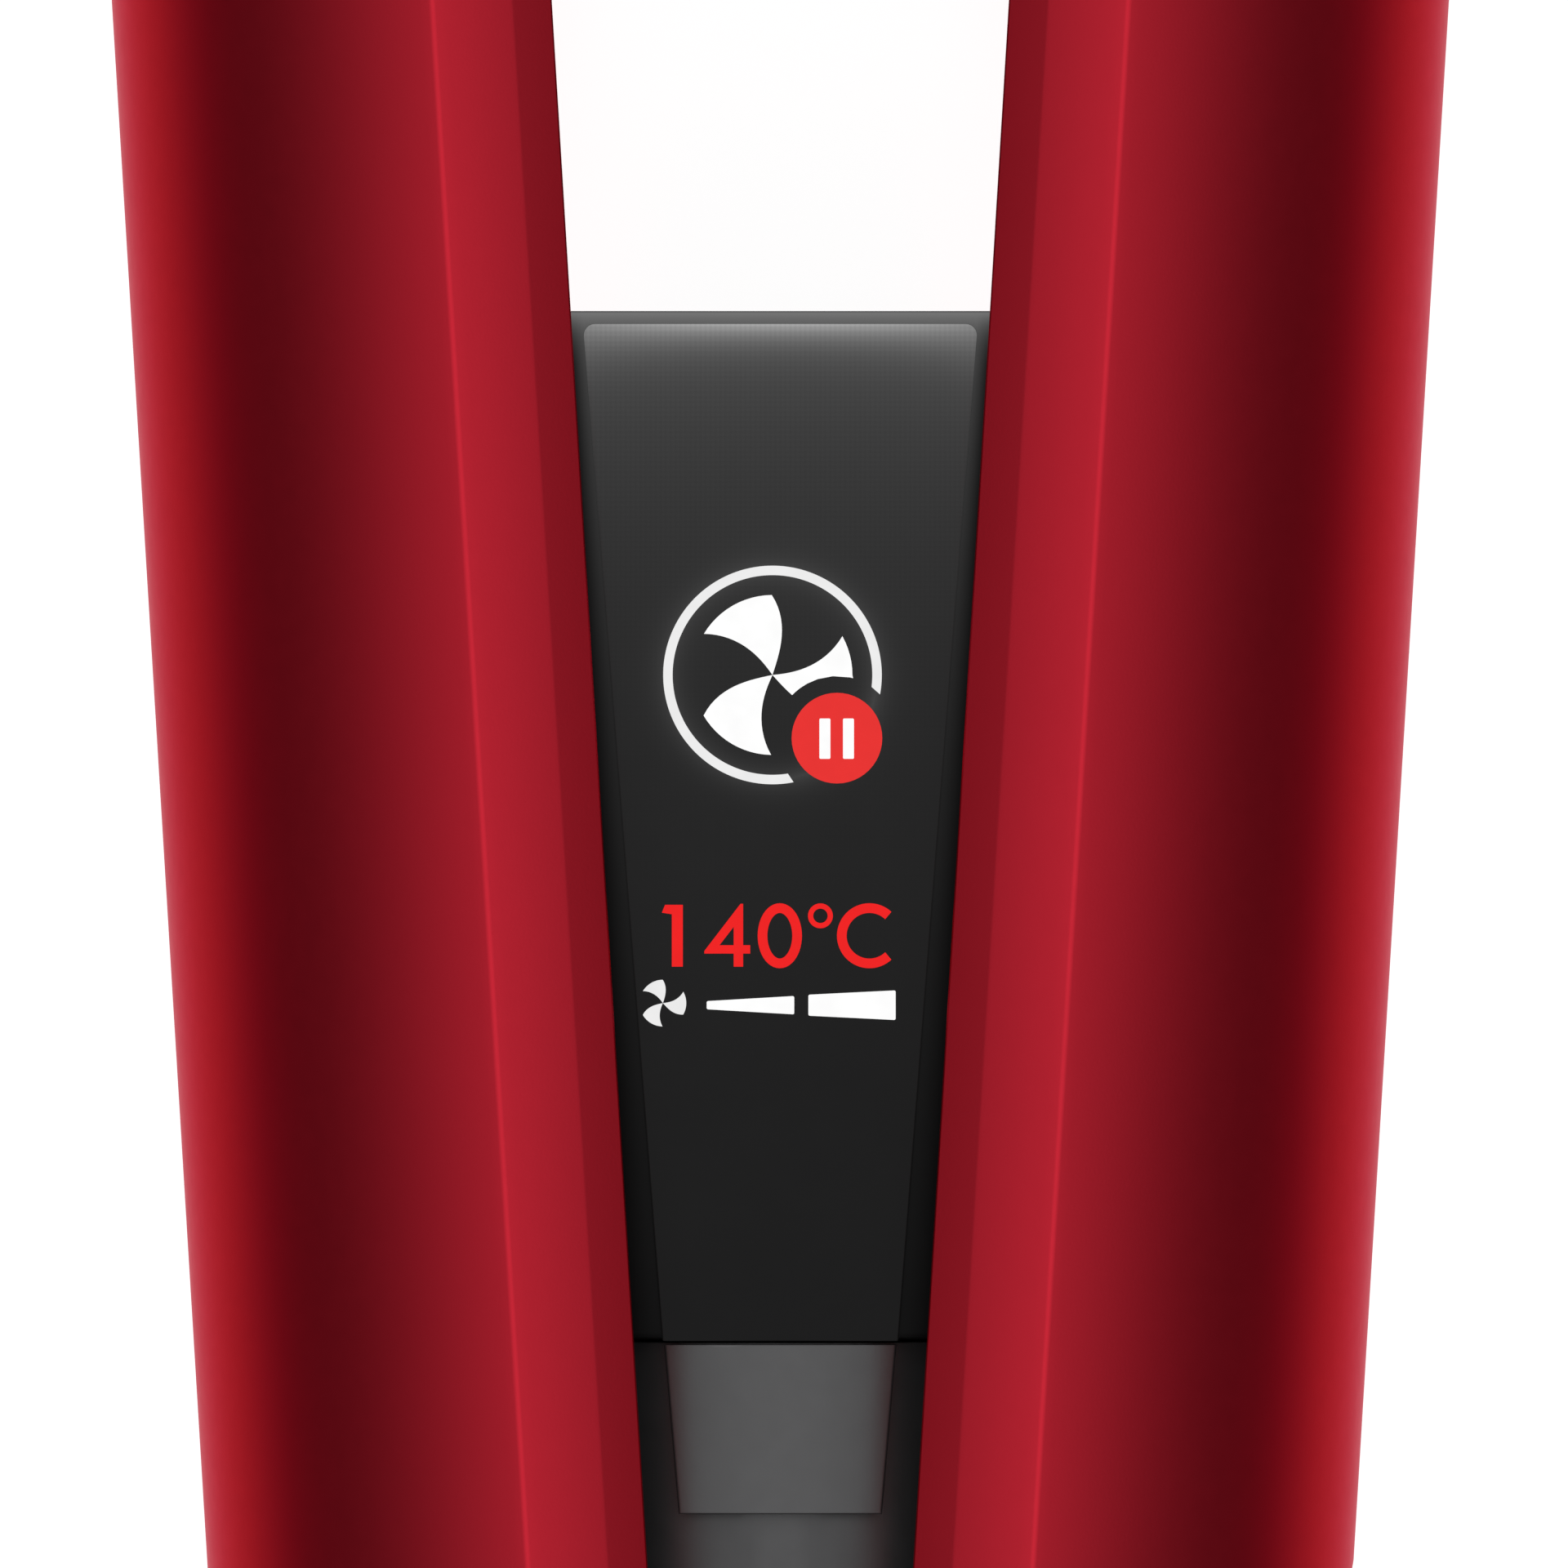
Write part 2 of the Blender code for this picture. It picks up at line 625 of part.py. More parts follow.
def neck_sleeve():
    profile = ring(SLEEVE_RADIUS, SLEEVE_BORE, SLEEVE_START_Y, SLEEVE_END_Y)
    sleeve = turned("neck_sleeve", profile, ORIGIN, GREY, 48)
    outside, half = 16.0, WINDOW_HALF_LENGTH
    corners = []
    for side in (-1, 1):
        near, far = sorted((side * WINDOW_INNER_X, side * outside))
        corners.append(((near, -half, -outside), (far, half, outside)))
        near, far = sorted((side * PIVOT_X, side * outside))
        corners.append(((near, half - 0.5, -4), (far, half + 5.5, 4)))
    for index, corner in enumerate(corners):
        name = f"sleeve_window_{index}"
        boolean(sleeve, place(name, boxes(name, [corner]), ORIGIN))
    half = PEG_HALF_WIDTH + GAP
    low, high = (-half, PEG_START_Y - LOCK_TRAVEL - GAP, 11), (half, PEG_END_Y + GAP, outside)
    return boolean(sleeve, place("lock_slot", boxes("lock_slot", [(low, high)]), ORIGIN))


def lock_slider():
    """A thin curved pad on the neck with a peg that reaches through the sleeve."""
    profile = ring(SLIDER_RADIUS, SLIDER_BORE, SLIDER_START_Y, SLEEVE_END_Y)
    slider = turned("lock_slider", profile, ORIGIN, GREY, 96)
    plan = outline("lock_plan", tapered(SLIDER_HALF_WIDTHS, SLIDER_START_Y - 1.9, SLEEVE_END_Y + 1.9), 6)
    boolean(slider, place("lock_plan", plan, ORIGIN, None, (0, 0, 14)), "INTERSECT")
    low, high = (-PEG_HALF_WIDTH, PEG_START_Y, 11.7), (PEG_HALF_WIDTH, PEG_END_Y, 14.1)
    peg = boxes("lock_peg", [(low, high)])
    return boolean(slider, place("lock_peg", peg, ORIGIN), "UNION")


def control_board():
    mesh = boxes("control_board", [((-4.8, 12, 9.9), (4.8, 33, 10.7))])
    board = place("control_board", mesh, ORIGIN, BOARD)
    chips = [((-2.5, 15, 10.5), (2.5, 20, 11.4)), ((-1.5, 24, 10.5), (3.0, 28, 11.2))]
    return boolean(board, place("board_chips", boxes("board_chips", chips), ORIGIN), "UNION")


def display_housing():
    middle = (DISPLAY_SPLIT_Z + DISPLAY_TOP_Z) / 2
    height = DISPLAY_TOP_Z - DISPLAY_SPLIT_Z
    mesh = outline("display_housing", tapered(DISPLAY_HALF_WIDTHS, DISPLAY_START_Y, DISPLAY_END_Y), height)
    housing = bevel(place("display_housing", mesh, ORIGIN, BLACK, (0, 0, middle)), 0.35, 2)
    seat = outline("lens_seat", tapered(LENS_HALF_WIDTHS, LENS_START_Y, LENS_END_Y, -0.2, 0.6), 4)
    boolean(housing, place("lens_seat", seat, ORIGIN, None, (0, 0, 14.7)))
    well = outline("board_well", tapered(LENS_HALF_WIDTHS, LENS_START_Y, LENS_END_Y, 0.5), 6)
    return boolean(housing, place("board_well", well, ORIGIN, None, (0, 0, 12.4)))


def display_stack():
    """Lens, panel and board, each a thin tapered plate."""
    layers = (("display_lens", GLASS, 0.0, 0.5, LENS_LOW_Z, LENS_TOP_Z),
              ("lcd_panel", BLACK, 0.8, 0.0, 11.9, 12.7),
              ("display_board", BOARD, 0.9, 0.0, 10.2, 11.2))
    for name, material, inset, corner, low, high in layers:
        points = tapered(LENS_HALF_WIDTHS, LENS_START_Y, LENS_END_Y, inset, corner)
        place(name, outline(name, points, high - low), ORIGIN, material, (0, 0, (low + high) / 2))


def air_splitter():
    """The lower half of the display module: a duct with a port to each arm."""
    low, high = -DISPLAY_TOP_Z, DISPLAY_SPLIT_Z - GAP
    mesh = outline("air_splitter", tapered(DISPLAY_HALF_WIDTHS, DISPLAY_START_Y, DISPLAY_END_Y), high - low)
    splitter = bevel(place("air_splitter", mesh, ORIGIN, BLACK, (0, 0, (low + high) / 2)), 1.5, 2)
    bore = boxes("splitter_bore", [((-5, DISPLAY_START_Y - 2, -7), (5, DISPLAY_END_Y - 2.8, 6.5))])
    boolean(splitter, place("splitter_bore", bore, ORIGIN))
    low = (-12, PORT_START_Y, -PORT_HALF_HEIGHT)
    ports = boxes("splitter_ports", [(low, (12, PORT_END_Y, PORT_HALF_HEIGHT))])
    return boolean(splitter, place("splitter_ports", ports, ORIGIN))


# ---- rear end --------------------------------------------------------------------------------


def flats(obj, name, start_y, end_y):
    """Cuts the round end to the body's depth, front and back."""
    corners = [((-25, start_y, FLAT_Z), (25, end_y, 25)), ((-25, start_y, -25), (25, end_y, -FLAT_Z))]
    return boolean(obj, place(name, boxes(name, corners), ORIGIN))


def rear_housing():
    profile = [(HOUSING_RADIUS - 0.6, HOUSING_START_Y), (HOUSING_RADIUS, HOUSING_START_Y - 0.6),
               (HOUSING_RADIUS, HOUSING_END_Y), (SPIGOT_RADIUS, HOUSING_END_Y),
               (SPIGOT_RADIUS, SPIGOT_END_Y), (SPIGOT_BORE, SPIGOT_END_Y),
               (SPIGOT_BORE, HOUSING_BULKHEAD_Y), (COLLAR_BORE, HOUSING_BULKHEAD_Y),
               (COLLAR_BORE, HOUSING_START_Y)]
    housing = turned("rear_housing", profile, ORIGIN, GREY, 48)
    flats(housing, "housing_flats", -30, -15)
    pocket = cylinders("power_pocket", [(0, POWER_BUTTON_Y, 20.2)], 4.3, 6)
    return boolean(housing, place("power_pocket", pocket, ORIGIN))


def power_button():
    profile = [(0, 18.9), (3.7, 18.9), (4.0, 18.6), (4.0, 18.05), (0, 18.05)]
    return turned("power_button", profile, ORIGIN, BLACK, 24, (0, POWER_BUTTON_Y, 0), (0, 0, 0))


def bearing_carrier(name, middle_y):
    """An outer ring, three spokes and a hub, all one piece."""
    carrier = turned(name, ring(12.1, 11.0, middle_y + 1.5, middle_y - 1.5), ORIGIN, ALUMINIUM, 24)
    hub = turned(name + "_hub", ring(4.7, 2.6, middle_y + 1.5, middle_y - 1.5), ORIGIN, None, 16)
    for index in range(3):
        spoke = boxes(f"{name}_spoke_{index}", [((3.6, -1.0, -0.8), (11.6, 1.0, 0.8))])
        arm = place(f"{name}_spoke_{index}", spoke, ORIGIN, None, (0, middle_y, 0), (0, 120 * index, 0))
        boolean(carrier, arm, "UNION")
    boolean(carrier, hub, "UNION")
    bore = cylinders(name + "_bore", [(0, middle_y, 0)], 3.3, 6, "Y", 16)
    return boolean(carrier, place(name + "_bore", bore, ORIGIN))


def places_round(radius, y):
    """Evenly spaced points on a circle round the object's axis."""
    angles = [2 * math.pi * k / HOLES_ROUND for k in range(HOLES_ROUND)]
    return [(radius * math.cos(a), y, radius * math.sin(a)) for a in angles]


def motor():
    turned("motor_mount", ring(15.3, 13.6, -24, -29), ORIGIN, RUBBER, 32)
    turned("motor_housing", ring(MOTOR_RADIUS, MOTOR_BORE, MOTOR_START_Y, MOTOR_END_Y), ORIGIN, ALUMINIUM, 32)
    for end, y in zip(("front", "rear"), BEARING_YS):
        bearing_carrier(f"{end}_bearing_carrier", y)
        turned(f"{end}_bearing", ring(3.0, 1.45, y + 1.5, y - 1.5), ORIGIN, STEEL, 16)
    stator = turned("stator", ring(12.1, 5.4, *STATOR_YS), ORIGIN, STEEL, 24)
    middle = sum(STATOR_YS) / 2
    windings = cylinders("stator_slots", places_round(8.8, middle), 2.2, 14, "Y", 12)
    boolean(stator, place("stator_slots", windings, ORIGIN))


def rotor():
    spin = empty("rotor_axis", (0, ROTOR_Y, 0), 0, ORIGIN)
    turned("rotor_shaft", [(0, 12), (1.2, 12), (1.2, -17), (0, -17)], spin, STEEL, 16)
    turned("rotor_magnet", ring(4.9, 1.5, -1.5, -11.5), spin, STEEL, 24)
    hub = [(2.0, 12.5), (4.6, 5.0), (4.6, 4.0), (1.5, 4.0), (1.5, 12.5)]
    impeller = turned("impeller", hub, spin, ALUMINIUM, 24)
    for index in range(BLADES):
        name = f"impeller_blade_{index}"
        blade = boxes(name, [((2.6, -4.2, -0.45), (11.6, 4.2, 0.45))])
        turn = Matrix.Rotation(2 * math.pi * index / BLADES, 4, "Y")
        pose = turn @ Matrix.Translation(metres(0, 8.2, 0))
        blade.transform(pose @ Matrix.Rotation(math.radians(BLADE_TILT_DEG), 4, "X"))
        boolean(impeller, place(name, blade, spin), "UNION")
    bore = cylinders("impeller_bore", [(0, 8, 0)], 1.5, 14, "Y", 24)
    return boolean(impeller, place("impeller_bore", bore, spin))


def cable_carrier():
    """The motor's rear cover, with intake holes and the stem that holds the cord gland."""
    profile = [(MOTOR_RADIUS, -57.4), (MOTOR_RADIUS, -60.4), (4.8, -60.4), (4.8, -69.6), (2.6, -69.6),
               (2.6, -57.4)]
    carrier = turned("cable_carrier", profile, ORIGIN, BLACK, 32)
    holes = cylinders("intake_holes", places_round(9, -59), 2.6, 6, "Y", 16)
    return boolean(carrier, place("intake_holes", holes, ORIGIN))


def cord_gland():
    profile = [(5.4, -69.9), (GLAND_RADIUS, -70.7), (GLAND_RADIUS, -72.6), (4.6, TAIL_Y), (3.0, TAIL_Y),
               (3.0, -69.9)]
    return turned("cord_gland", profile, ORIGIN, RUBBER, 28)


def filter_cage():
    end_wall = CAGE_END_Y + CAGE_WALL
    profile = [(HOUSING_RADIUS, CAGE_START_Y), (HOUSING_RADIUS, CAGE_END_Y + 1.2),
               (HOUSING_RADIUS - 1.2, CAGE_END_Y), (CAGE_HOLE_RADIUS, CAGE_END_Y),
               (CAGE_HOLE_RADIUS, end_wall),
               (CAGE_BORE, end_wall), (CAGE_BORE, CAGE_START_Y)]
    cage = turned("filter_cage", profile, ORIGIN, GREY, 48)
    flats(cage, "cage_flats", -72, -26)
    bm = bmesh.new()
    for index in range(CAGE_SLOTS):
        turn = Matrix.Rotation(2 * math.pi * (index + 0.5) / CAGE_SLOTS, 4, "Y")
        spot = Matrix.Translation(metres(18.4, -49, 0)) @ Matrix.Diagonal((*metres(*CAGE_SLOT_SIZE), 1))
        bmesh.ops.create_cube(bm, size=1.0, matrix=turn @ spot)
    return boolean(cage, place("cage_slots", finish(bm, "cage_slots"), ORIGIN))


def filter_mesh():
    return turned("filter_mesh", ring(17.2, 16.5, -32, -67.6), ORIGIN, STEEL, 32)


def build():
    build_arms()
    air_tube()
    hinge_collar()
    hinge_pins()
    opening_springs()
    neck_sleeve()
    lock_slider()
    control_board()
    display_housing()
    display_stack()
    air_splitter()
    rear_housing()
    power_button()
    motor()
    rotor()
    cable_carrier()
    cord_gland()
    filter_cage()
    filter_mesh()
    for obj in PARTS.objects:
        if obj.type == "MESH":
            shade(obj)


build()
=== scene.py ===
"""Looks of a two-armed hot-air hair straightener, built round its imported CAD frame.

Lengths here are millimetres from the middle of the hinge: x across, y towards the tips and z out of
the display. Arm pieces are drawn for the right arm, as they lie when the arms are closed. The NECK
and ARM matrices lead from those coordinates to the frame's metres.
"""

import json
import math

import bmesh
import bpy
from mathutils import Matrix, Vector

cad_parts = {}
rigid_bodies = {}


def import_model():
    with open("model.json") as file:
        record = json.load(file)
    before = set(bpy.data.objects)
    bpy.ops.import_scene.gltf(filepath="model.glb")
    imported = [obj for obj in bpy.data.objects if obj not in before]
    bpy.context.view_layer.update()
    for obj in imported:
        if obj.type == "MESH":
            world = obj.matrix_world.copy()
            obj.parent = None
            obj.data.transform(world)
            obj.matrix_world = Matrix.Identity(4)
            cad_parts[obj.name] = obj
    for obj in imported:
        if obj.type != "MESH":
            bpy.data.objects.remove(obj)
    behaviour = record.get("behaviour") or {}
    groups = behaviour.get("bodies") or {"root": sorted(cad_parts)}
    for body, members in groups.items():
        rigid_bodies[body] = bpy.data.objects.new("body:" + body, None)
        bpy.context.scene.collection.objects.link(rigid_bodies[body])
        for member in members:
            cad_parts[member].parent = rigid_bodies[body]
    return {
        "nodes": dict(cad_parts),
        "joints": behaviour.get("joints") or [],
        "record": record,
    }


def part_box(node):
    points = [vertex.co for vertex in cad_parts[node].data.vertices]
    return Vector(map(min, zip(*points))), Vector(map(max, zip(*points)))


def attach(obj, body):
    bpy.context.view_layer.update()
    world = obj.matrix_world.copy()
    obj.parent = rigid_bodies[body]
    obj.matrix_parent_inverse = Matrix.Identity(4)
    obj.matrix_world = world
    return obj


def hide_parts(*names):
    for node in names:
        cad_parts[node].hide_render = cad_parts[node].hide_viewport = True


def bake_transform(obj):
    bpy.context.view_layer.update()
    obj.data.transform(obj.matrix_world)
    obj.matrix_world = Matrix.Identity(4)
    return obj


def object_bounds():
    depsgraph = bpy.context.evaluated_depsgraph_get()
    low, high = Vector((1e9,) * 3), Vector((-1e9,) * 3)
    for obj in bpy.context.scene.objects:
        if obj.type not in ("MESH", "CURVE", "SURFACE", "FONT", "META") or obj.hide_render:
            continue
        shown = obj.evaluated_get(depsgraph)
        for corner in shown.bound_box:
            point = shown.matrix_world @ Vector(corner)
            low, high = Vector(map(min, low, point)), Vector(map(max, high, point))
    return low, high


for startup_object in list(bpy.data.objects):
    bpy.data.objects.remove(startup_object)
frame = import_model()
cad_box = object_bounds()

MM = 0.001
JOINTS = {joint["name"]: joint for joint in frame["joints"]}
HINGE = JOINTS["right_arm_hinge"]
PIVOT = Vector(HINGE["pos_m"])
OPEN_ANGLE = math.radians(HINGE["range_deg"][1])
NECK = Matrix.Translation((0, PIVOT.y, PIVOT.z)) @ Matrix.Scale(MM, 4)
SWING = Matrix.Rotation(-OPEN_ANGLE, 4, "Z")
ARM = Matrix.Translation(PIVOT) @ SWING @ Matrix.Translation(-PIVOT) @ NECK
BODY = "body"


def local_box(node, space):
    """Lowest and highest corner of a CAD node, in the millimetres that space leads out of."""
    inverse = space.inverted()
    points = [inverse @ vertex.co for vertex in frame["nodes"][node].data.vertices]
    return [Vector([pick(point[axis] for point in points) for axis in range(3)]) for pick in (min, max)]


def crest(node, space):
    """The point of a CAD node that is highest in z, in local millimetres."""
    inverse = space.inverted()
    return max((inverse @ vertex.co for vertex in frame["nodes"][node].data.vertices), key=lambda p: p.z)


SHELL_LOW, SHELL_HIGH = local_box("right_arm_shell", ARM)
CREASE = crest("right_arm_shell", ARM)


# ---- outlines ----


def filleted(corners, closed=True, steps=6):
    """Points of an outline through corners of (x, y, radius), each rounded by its radius."""
    points = []
    last = len(corners) - 1
    for index, (x, y, radius) in enumerate(corners):
        here = Vector((x, y))
        if radius == 0 or (not closed and index in (0, last)):
            points.append(here)
            continue
        before = (Vector(corners[index - 1][:2]) - here).normalized()
        after = (Vector(corners[(index + 1) % len(corners)][:2]) - here).normalized()
        half = before.angle(after) / 2
        centre = here + (before + after).normalized() * radius / math.sin(half)
        start = here + before * radius / math.tan(half) - centre
        turn = start.angle_signed(here + after * radius / math.tan(half) - centre)
        for step in range(steps + 1):
            angle = math.atan2(start.y, start.x) - turn * step / steps
            points.append(centre + radius * Vector((math.cos(angle), math.sin(angle))))
    return points


def tapered(low_y, high_y, narrow, wide, inset, corner, near_corner=None):
    """A trapezoid in plan, narrow at low_y, drawn in by inset, with rounded corners."""
    low, high, slim, broad = low_y + inset, high_y - inset, narrow - inset, wide - inset
    far = max(corner - inset, 0.02)
    near = far if near_corner is None else max(near_corner - inset, 0.02)
    return filleted([(slim, low, near), (broad, high, far), (-broad, high, far), (-slim, low, near)])


def rectangle(low, high, inset, corner):
    """A rectangle with rounded corners between two (x, y) corners, drawn in by inset."""
    radius = max(corner - inset, 0.02)
    left, bottom, right, top = low[0] + inset, low[1] + inset, high[0] - inset, high[1] - inset
    corners = ((right, bottom), (right, top), (left, top), (left, bottom))
    return filleted([(x, y, radius) for x, y in corners])


# ---- meshes ----


PIECES = bpy.data.collections.new("straightener_looks")
bpy.context.scene.collection.children.link(PIECES)
SMOOTH_ANGLE = math.radians(32)
OUTWARDS = Matrix.Rotation(math.pi / 2, 4, "Y")
JAW_PLANE = Matrix(((0, 0, -1, 0), (0, 1, 0, 0), (1, 0, 0, 0), (0, 0, 0, 1)))


def loft(rings, closed=True, caps=True):
    """Skins rings of points, all with the same number of points, in order."""
    bm = bmesh.new()
    drawn = [[bm.verts.new(point) for point in ring] for ring in rings]
    count = len(drawn[0])
    for near, far in zip(drawn, drawn[1:]):
        for index in range(count if closed else count - 1):
            after = (index + 1) % count
            bm.faces.new((near[index], near[after], far[after], far[index]))
    if closed and caps:
        bm.faces.new(drawn[0])
        bm.faces.new(drawn[-1])
    return bm


def plate(outline, low, high, edge=0.0, low_edge=0.0, steps=5):
    """A plate whose outline(inset) gives its plan, with its upper and lower edges rounded."""
    quarter = [math.pi / 2 * step / steps for step in range(steps + 1)]
    levels = [(low_edge * (1 - math.sin(angle)), low + low_edge * (1 - math.cos(angle))) for angle in quarter]
    levels += [(edge * (1 - math.cos(angle)), high - edge * (1 - math.sin(angle))) for angle in quarter]
    bm = loft([[(*p, z) for p in outline(inset)] for inset, z in levels])
    bmesh.ops.remove_doubles(bm, verts=bm.verts, dist=0.0005)
    return bm


def lathe(profile, steps=128, axis="Y"):
    """Turns a closed profile of (radius, height) round an axis."""
    rings = []
    for step in range(steps):
        angle = 2 * math.pi * step / steps
        across, up = math.cos(angle), math.sin(angle)
        ring = [Vector((radius * across, height, radius * up)) for radius, height in profile]
        rings.append(ring if axis == "Y" else [point.xzy for point in ring])
    bm = loft(rings + rings[:1], caps=False)
    bmesh.ops.remove_doubles(bm, verts=bm.verts, dist=0.0005)
    bmesh.ops.dissolve_degenerate(bm, edges=bm.edges, dist=0.0002)
    return bm


def box(low, high):
    bm = bmesh.new()
    low, high = Vector(low), Vector(high)
    matrix = Matrix.Translation((low + high) / 2) @ Matrix.Diagonal((*(high - low), 1))
    bmesh.ops.create_cube(bm, size=1.0, matrix=matrix)
    return bm


def joined(parts):
    """One bmesh that holds all the given ones."""
    whole = bmesh.new()
    for part in parts:
        mesh = bpy.data.meshes.new("part")
        part.to_mesh(mesh)
        part.free()
        whole.from_mesh(mesh)
        bpy.data.meshes.remove(mesh)
    return whole


def turned_copy(bm, matrix):
    bm.transform(matrix)
    return bm


def new_object(name, bm, space):
    bmesh.ops.recalc_face_normals(bm, faces=bm.faces)
    bm.transform(space)
    mesh = bpy.data.meshes.new(name)
    bm.to_mesh(mesh)
    bm.free()
    obj = bpy.data.objects.new(name, mesh)
    PIECES.objects.link(obj)
    return obj


def bake(obj):
    """Keeps the mesh that the object's modifiers make, and drops the modifiers."""
    graph = bpy.context.evaluated_depsgraph_get()
    mesh = bpy.data.meshes.new_from_object(obj.evaluated_get(graph))
    obj.modifiers.clear()
    obj.data = mesh
    return obj


def cut_with(obj, cutter):
    """Cuts one object out of another, and drops the cutter."""
    modifier = obj.modifiers.new("cut", "BOOLEAN")
    modifier.object = cutter
    bake(obj)
    bpy.data.objects.remove(cutter)
    return obj


def cut(obj, bm, space):
    """Cuts a closed shape out of an object."""
    return cut_with(obj, new_object(obj.name + "_cutter", bm, space))


def thickened(obj, thickness, offset=0):
    """Gives a surface a thickness, centred on it, or all below it where offset is -1."""
    modifier = obj.modifiers.new("thickness", "SOLIDIFY")
    modifier.thickness = thickness * MM
    modifier.offset = offset
    return bake(obj)


def soften(obj, width, segments=3, angle_deg=50):
    """Rounds an object's sharp edges."""
    modifier = obj.modifiers.new("edges", "BEVEL")
    modifier.width = width * MM
    modifier.segments = segments
    modifier.limit_method = "ANGLE"
    modifier.angle_limit = math.radians(angle_deg)
    modifier.use_clamp_overlap = False
    return bake(obj)


def dress(obj, body, slot, material, *replaced):
    """Gives a finished piece its shading, finish, body and the CAD nodes that it stands for.

    A piece that bends is given (body, other body, start, end) instead of one name; it is then put on no body,
    and only its placement is baked into its mesh.
    """
    obj.data.materials.clear()
    obj.data.materials.append(material)
    obj.data.shade_smooth()
    obj.data.set_sharp_from_angle(angle=SMOOTH_ANGLE)
    if isinstance(body, str):
        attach(obj, body)
    else:
        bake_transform(obj)
    if replaced:
        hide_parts(*replaced)
    return obj


def left_twin(obj, name):
    """The mirror image of a right-arm object, across the middle plane."""
    mesh = obj.data.copy()
    mesh.transform(Matrix.Diagonal((-1, 1, 1, 1)))
    mesh.flip_normals()
    twin = bpy.data.objects.new(name, mesh)
    PIECES.objects.link(twin)
    return twin


def dress_both(obj, name, slot, material, node=None):
    """Dresses a right-arm piece and its mirrored left twin."""
    twin = left_twin(obj, "left_" + name)
    for side, piece in (("right", obj), ("left", twin)):
        replaced = [f"{side}_{node}"] if node else []
        dress(piece, f"{side}_arm", slot, material, *replaced)


# ---- finishes ----


def add(tree, kind, **settings):
    """A shader node with its settings and the values of its inputs."""
    node = tree.nodes.new("ShaderNode" + kind)
    for key, value in settings.items():
        if hasattr(node, key):
            setattr(node, key, value)
        else:
            node.inputs[key.replace("_", " ")].default_value = value
    return node


def maths(tree, operation, first, second=None):
    """The output of a Math node on sockets or numbers."""
    node = tree.nodes.new("ShaderNodeMath")
    node.operation = operation
    for socket, value in zip(node.inputs, (first, second)):
        if isinstance(value, (int, float)):
            socket.default_value = value
        elif value is not None:
            tree.links.new(value, socket)
    return node.outputs[0]


def split(tree, vector):
    """The x, y and z sockets of a vector socket."""
    node = add(tree, "SeparateXYZ")
    tree.links.new(vector, node.inputs[0])
    return node.outputs


def noise(tree, scale, detail=3.0, stretch=(1, 1, 1)):
    """Noise of a given scale per metre, in the piece's own coordinates."""
    coordinates = add(tree, "TexCoord")
    mapping = add(tree, "Mapping")
    mapping.inputs["Scale"].default_value = stretch
    texture = add(tree, "TexNoise", Scale=scale, Detail=detail)
    tree.links.new(coordinates.outputs["Object"], mapping.inputs["Vector"])
    tree.links.new(mapping.outputs[0], texture.inputs["Vector"])
    return texture.outputs["Fac"]


def spread(tree, value, low, high, start=0.0, end=1.0, **settings):
    """Maps a value that runs from start to end onto low to high."""
    node = add(tree, "MapRange", **settings)
    for socket, bound in (("From Min", start), ("From Max", end), ("To Min", low), ("To Max", high)):
        node.inputs[socket].default_value = bound
    tree.links.new(value, node.inputs["Value"])
    return node.outputs[0]


def blended(tree, amount, first, second):
    """Mixes two colours, each a socket or (r, g, b)."""
    node = add(tree, "Mix", data_type="RGBA")
    tree.links.new(amount, node.inputs[0])
    for socket, colour in ((node.inputs[6], first), (node.inputs[7], second)):
        if isinstance(colour, tuple):
            socket.default_value = (*colour, 1)
        else:
            tree.links.new(colour, socket)
    return node.outputs[2]


def shaded(colour, factor):
    return tuple(channel * factor for channel in colour)


def new_material(name, **sockets):
    """A node material, its tree and its shader, whose sockets are set."""
    material = bpy.data.materials.new(name)
    material.use_nodes = True
    shader = material.node_tree.nodes["Principled BSDF"]
    for socket, value in sockets.items():
        shader.inputs[socket.replace("_", " ")].default_value = value
    return material, material.node_tree, shader


WHITE = (1, 1, 1, 1)
# Pointiness over which sharp edges turn paler: edge wear, and a painted highlight along creases.
EDGE_WEAR_AND_HIGHLIGHT_POINTINESS = (0.52, 0.6)


def finish(name, colour, roughness, metallic=0.0, mottle=0.12, grain=2500.0, relief=0.02, uneven=0.06,
           wear_and_highlight=0.25, stretch=(1, 1, 1), **sockets):
    """A moulded, lacquered or metal surface: mottled colour, fine grain and paler edges, which are partly
    edge wear and partly a painted highlight along creases.
    """
    material, tree, shader = new_material(name, Metallic=metallic, **sockets)
    cloud = noise(tree, 55, 4)
    fine = noise(tree, grain, 3, stretch)
    body = blended(tree, cloud, shaded(colour, 1 - mottle), shaded(colour, 1 + mottle))
    body = blended(tree, spread(tree, fine, 0, 0.5), body, shaded(colour, 1 - mottle))
    # Paler sharp edges and creases: edge wear, and a painted highlight along the creases.
    edges = spread(tree, add(tree, "NewGeometry").outputs["Pointiness"], 0, wear_and_highlight, *EDGE_WEAR_AND_HIGHLIGHT_POINTINESS)
    worn_and_highlight_colour = tuple(min(1.0, channel * 1.3 + 0.03) for channel in colour)
    tree.links.new(blended(tree, edges, body, worn_and_highlight_colour), shader.inputs["Base Color"])
    rough = spread(tree, noise(tree, grain / 6, 4, stretch), roughness - uneven, roughness + uneven)
    tree.links.new(rough, shader.inputs["Roughness"])
    bump = add(tree, "Bump", Strength=relief, Distance=0.0001)
    tree.links.new(fine, bump.inputs["Height"])
    tree.links.new(bump.outputs[0], shader.inputs["Normal"])
    return material


def lit(name, colour):
    """A lit display segment, slightly uneven as a backlight is."""
    material, tree, shader = new_material(name, Base_Color=(*shaded(colour, 0.1), 1), Roughness=0.3,
                                          Specular_IOR_Level=0.1, Emission_Strength=1.0)
    glow = blended(tree, noise(tree, 900, 2), shaded(colour, 0.92), shaded(colour, 1.06))
    tree.links.new(glow, shader.inputs["Emission Color"])
    return material


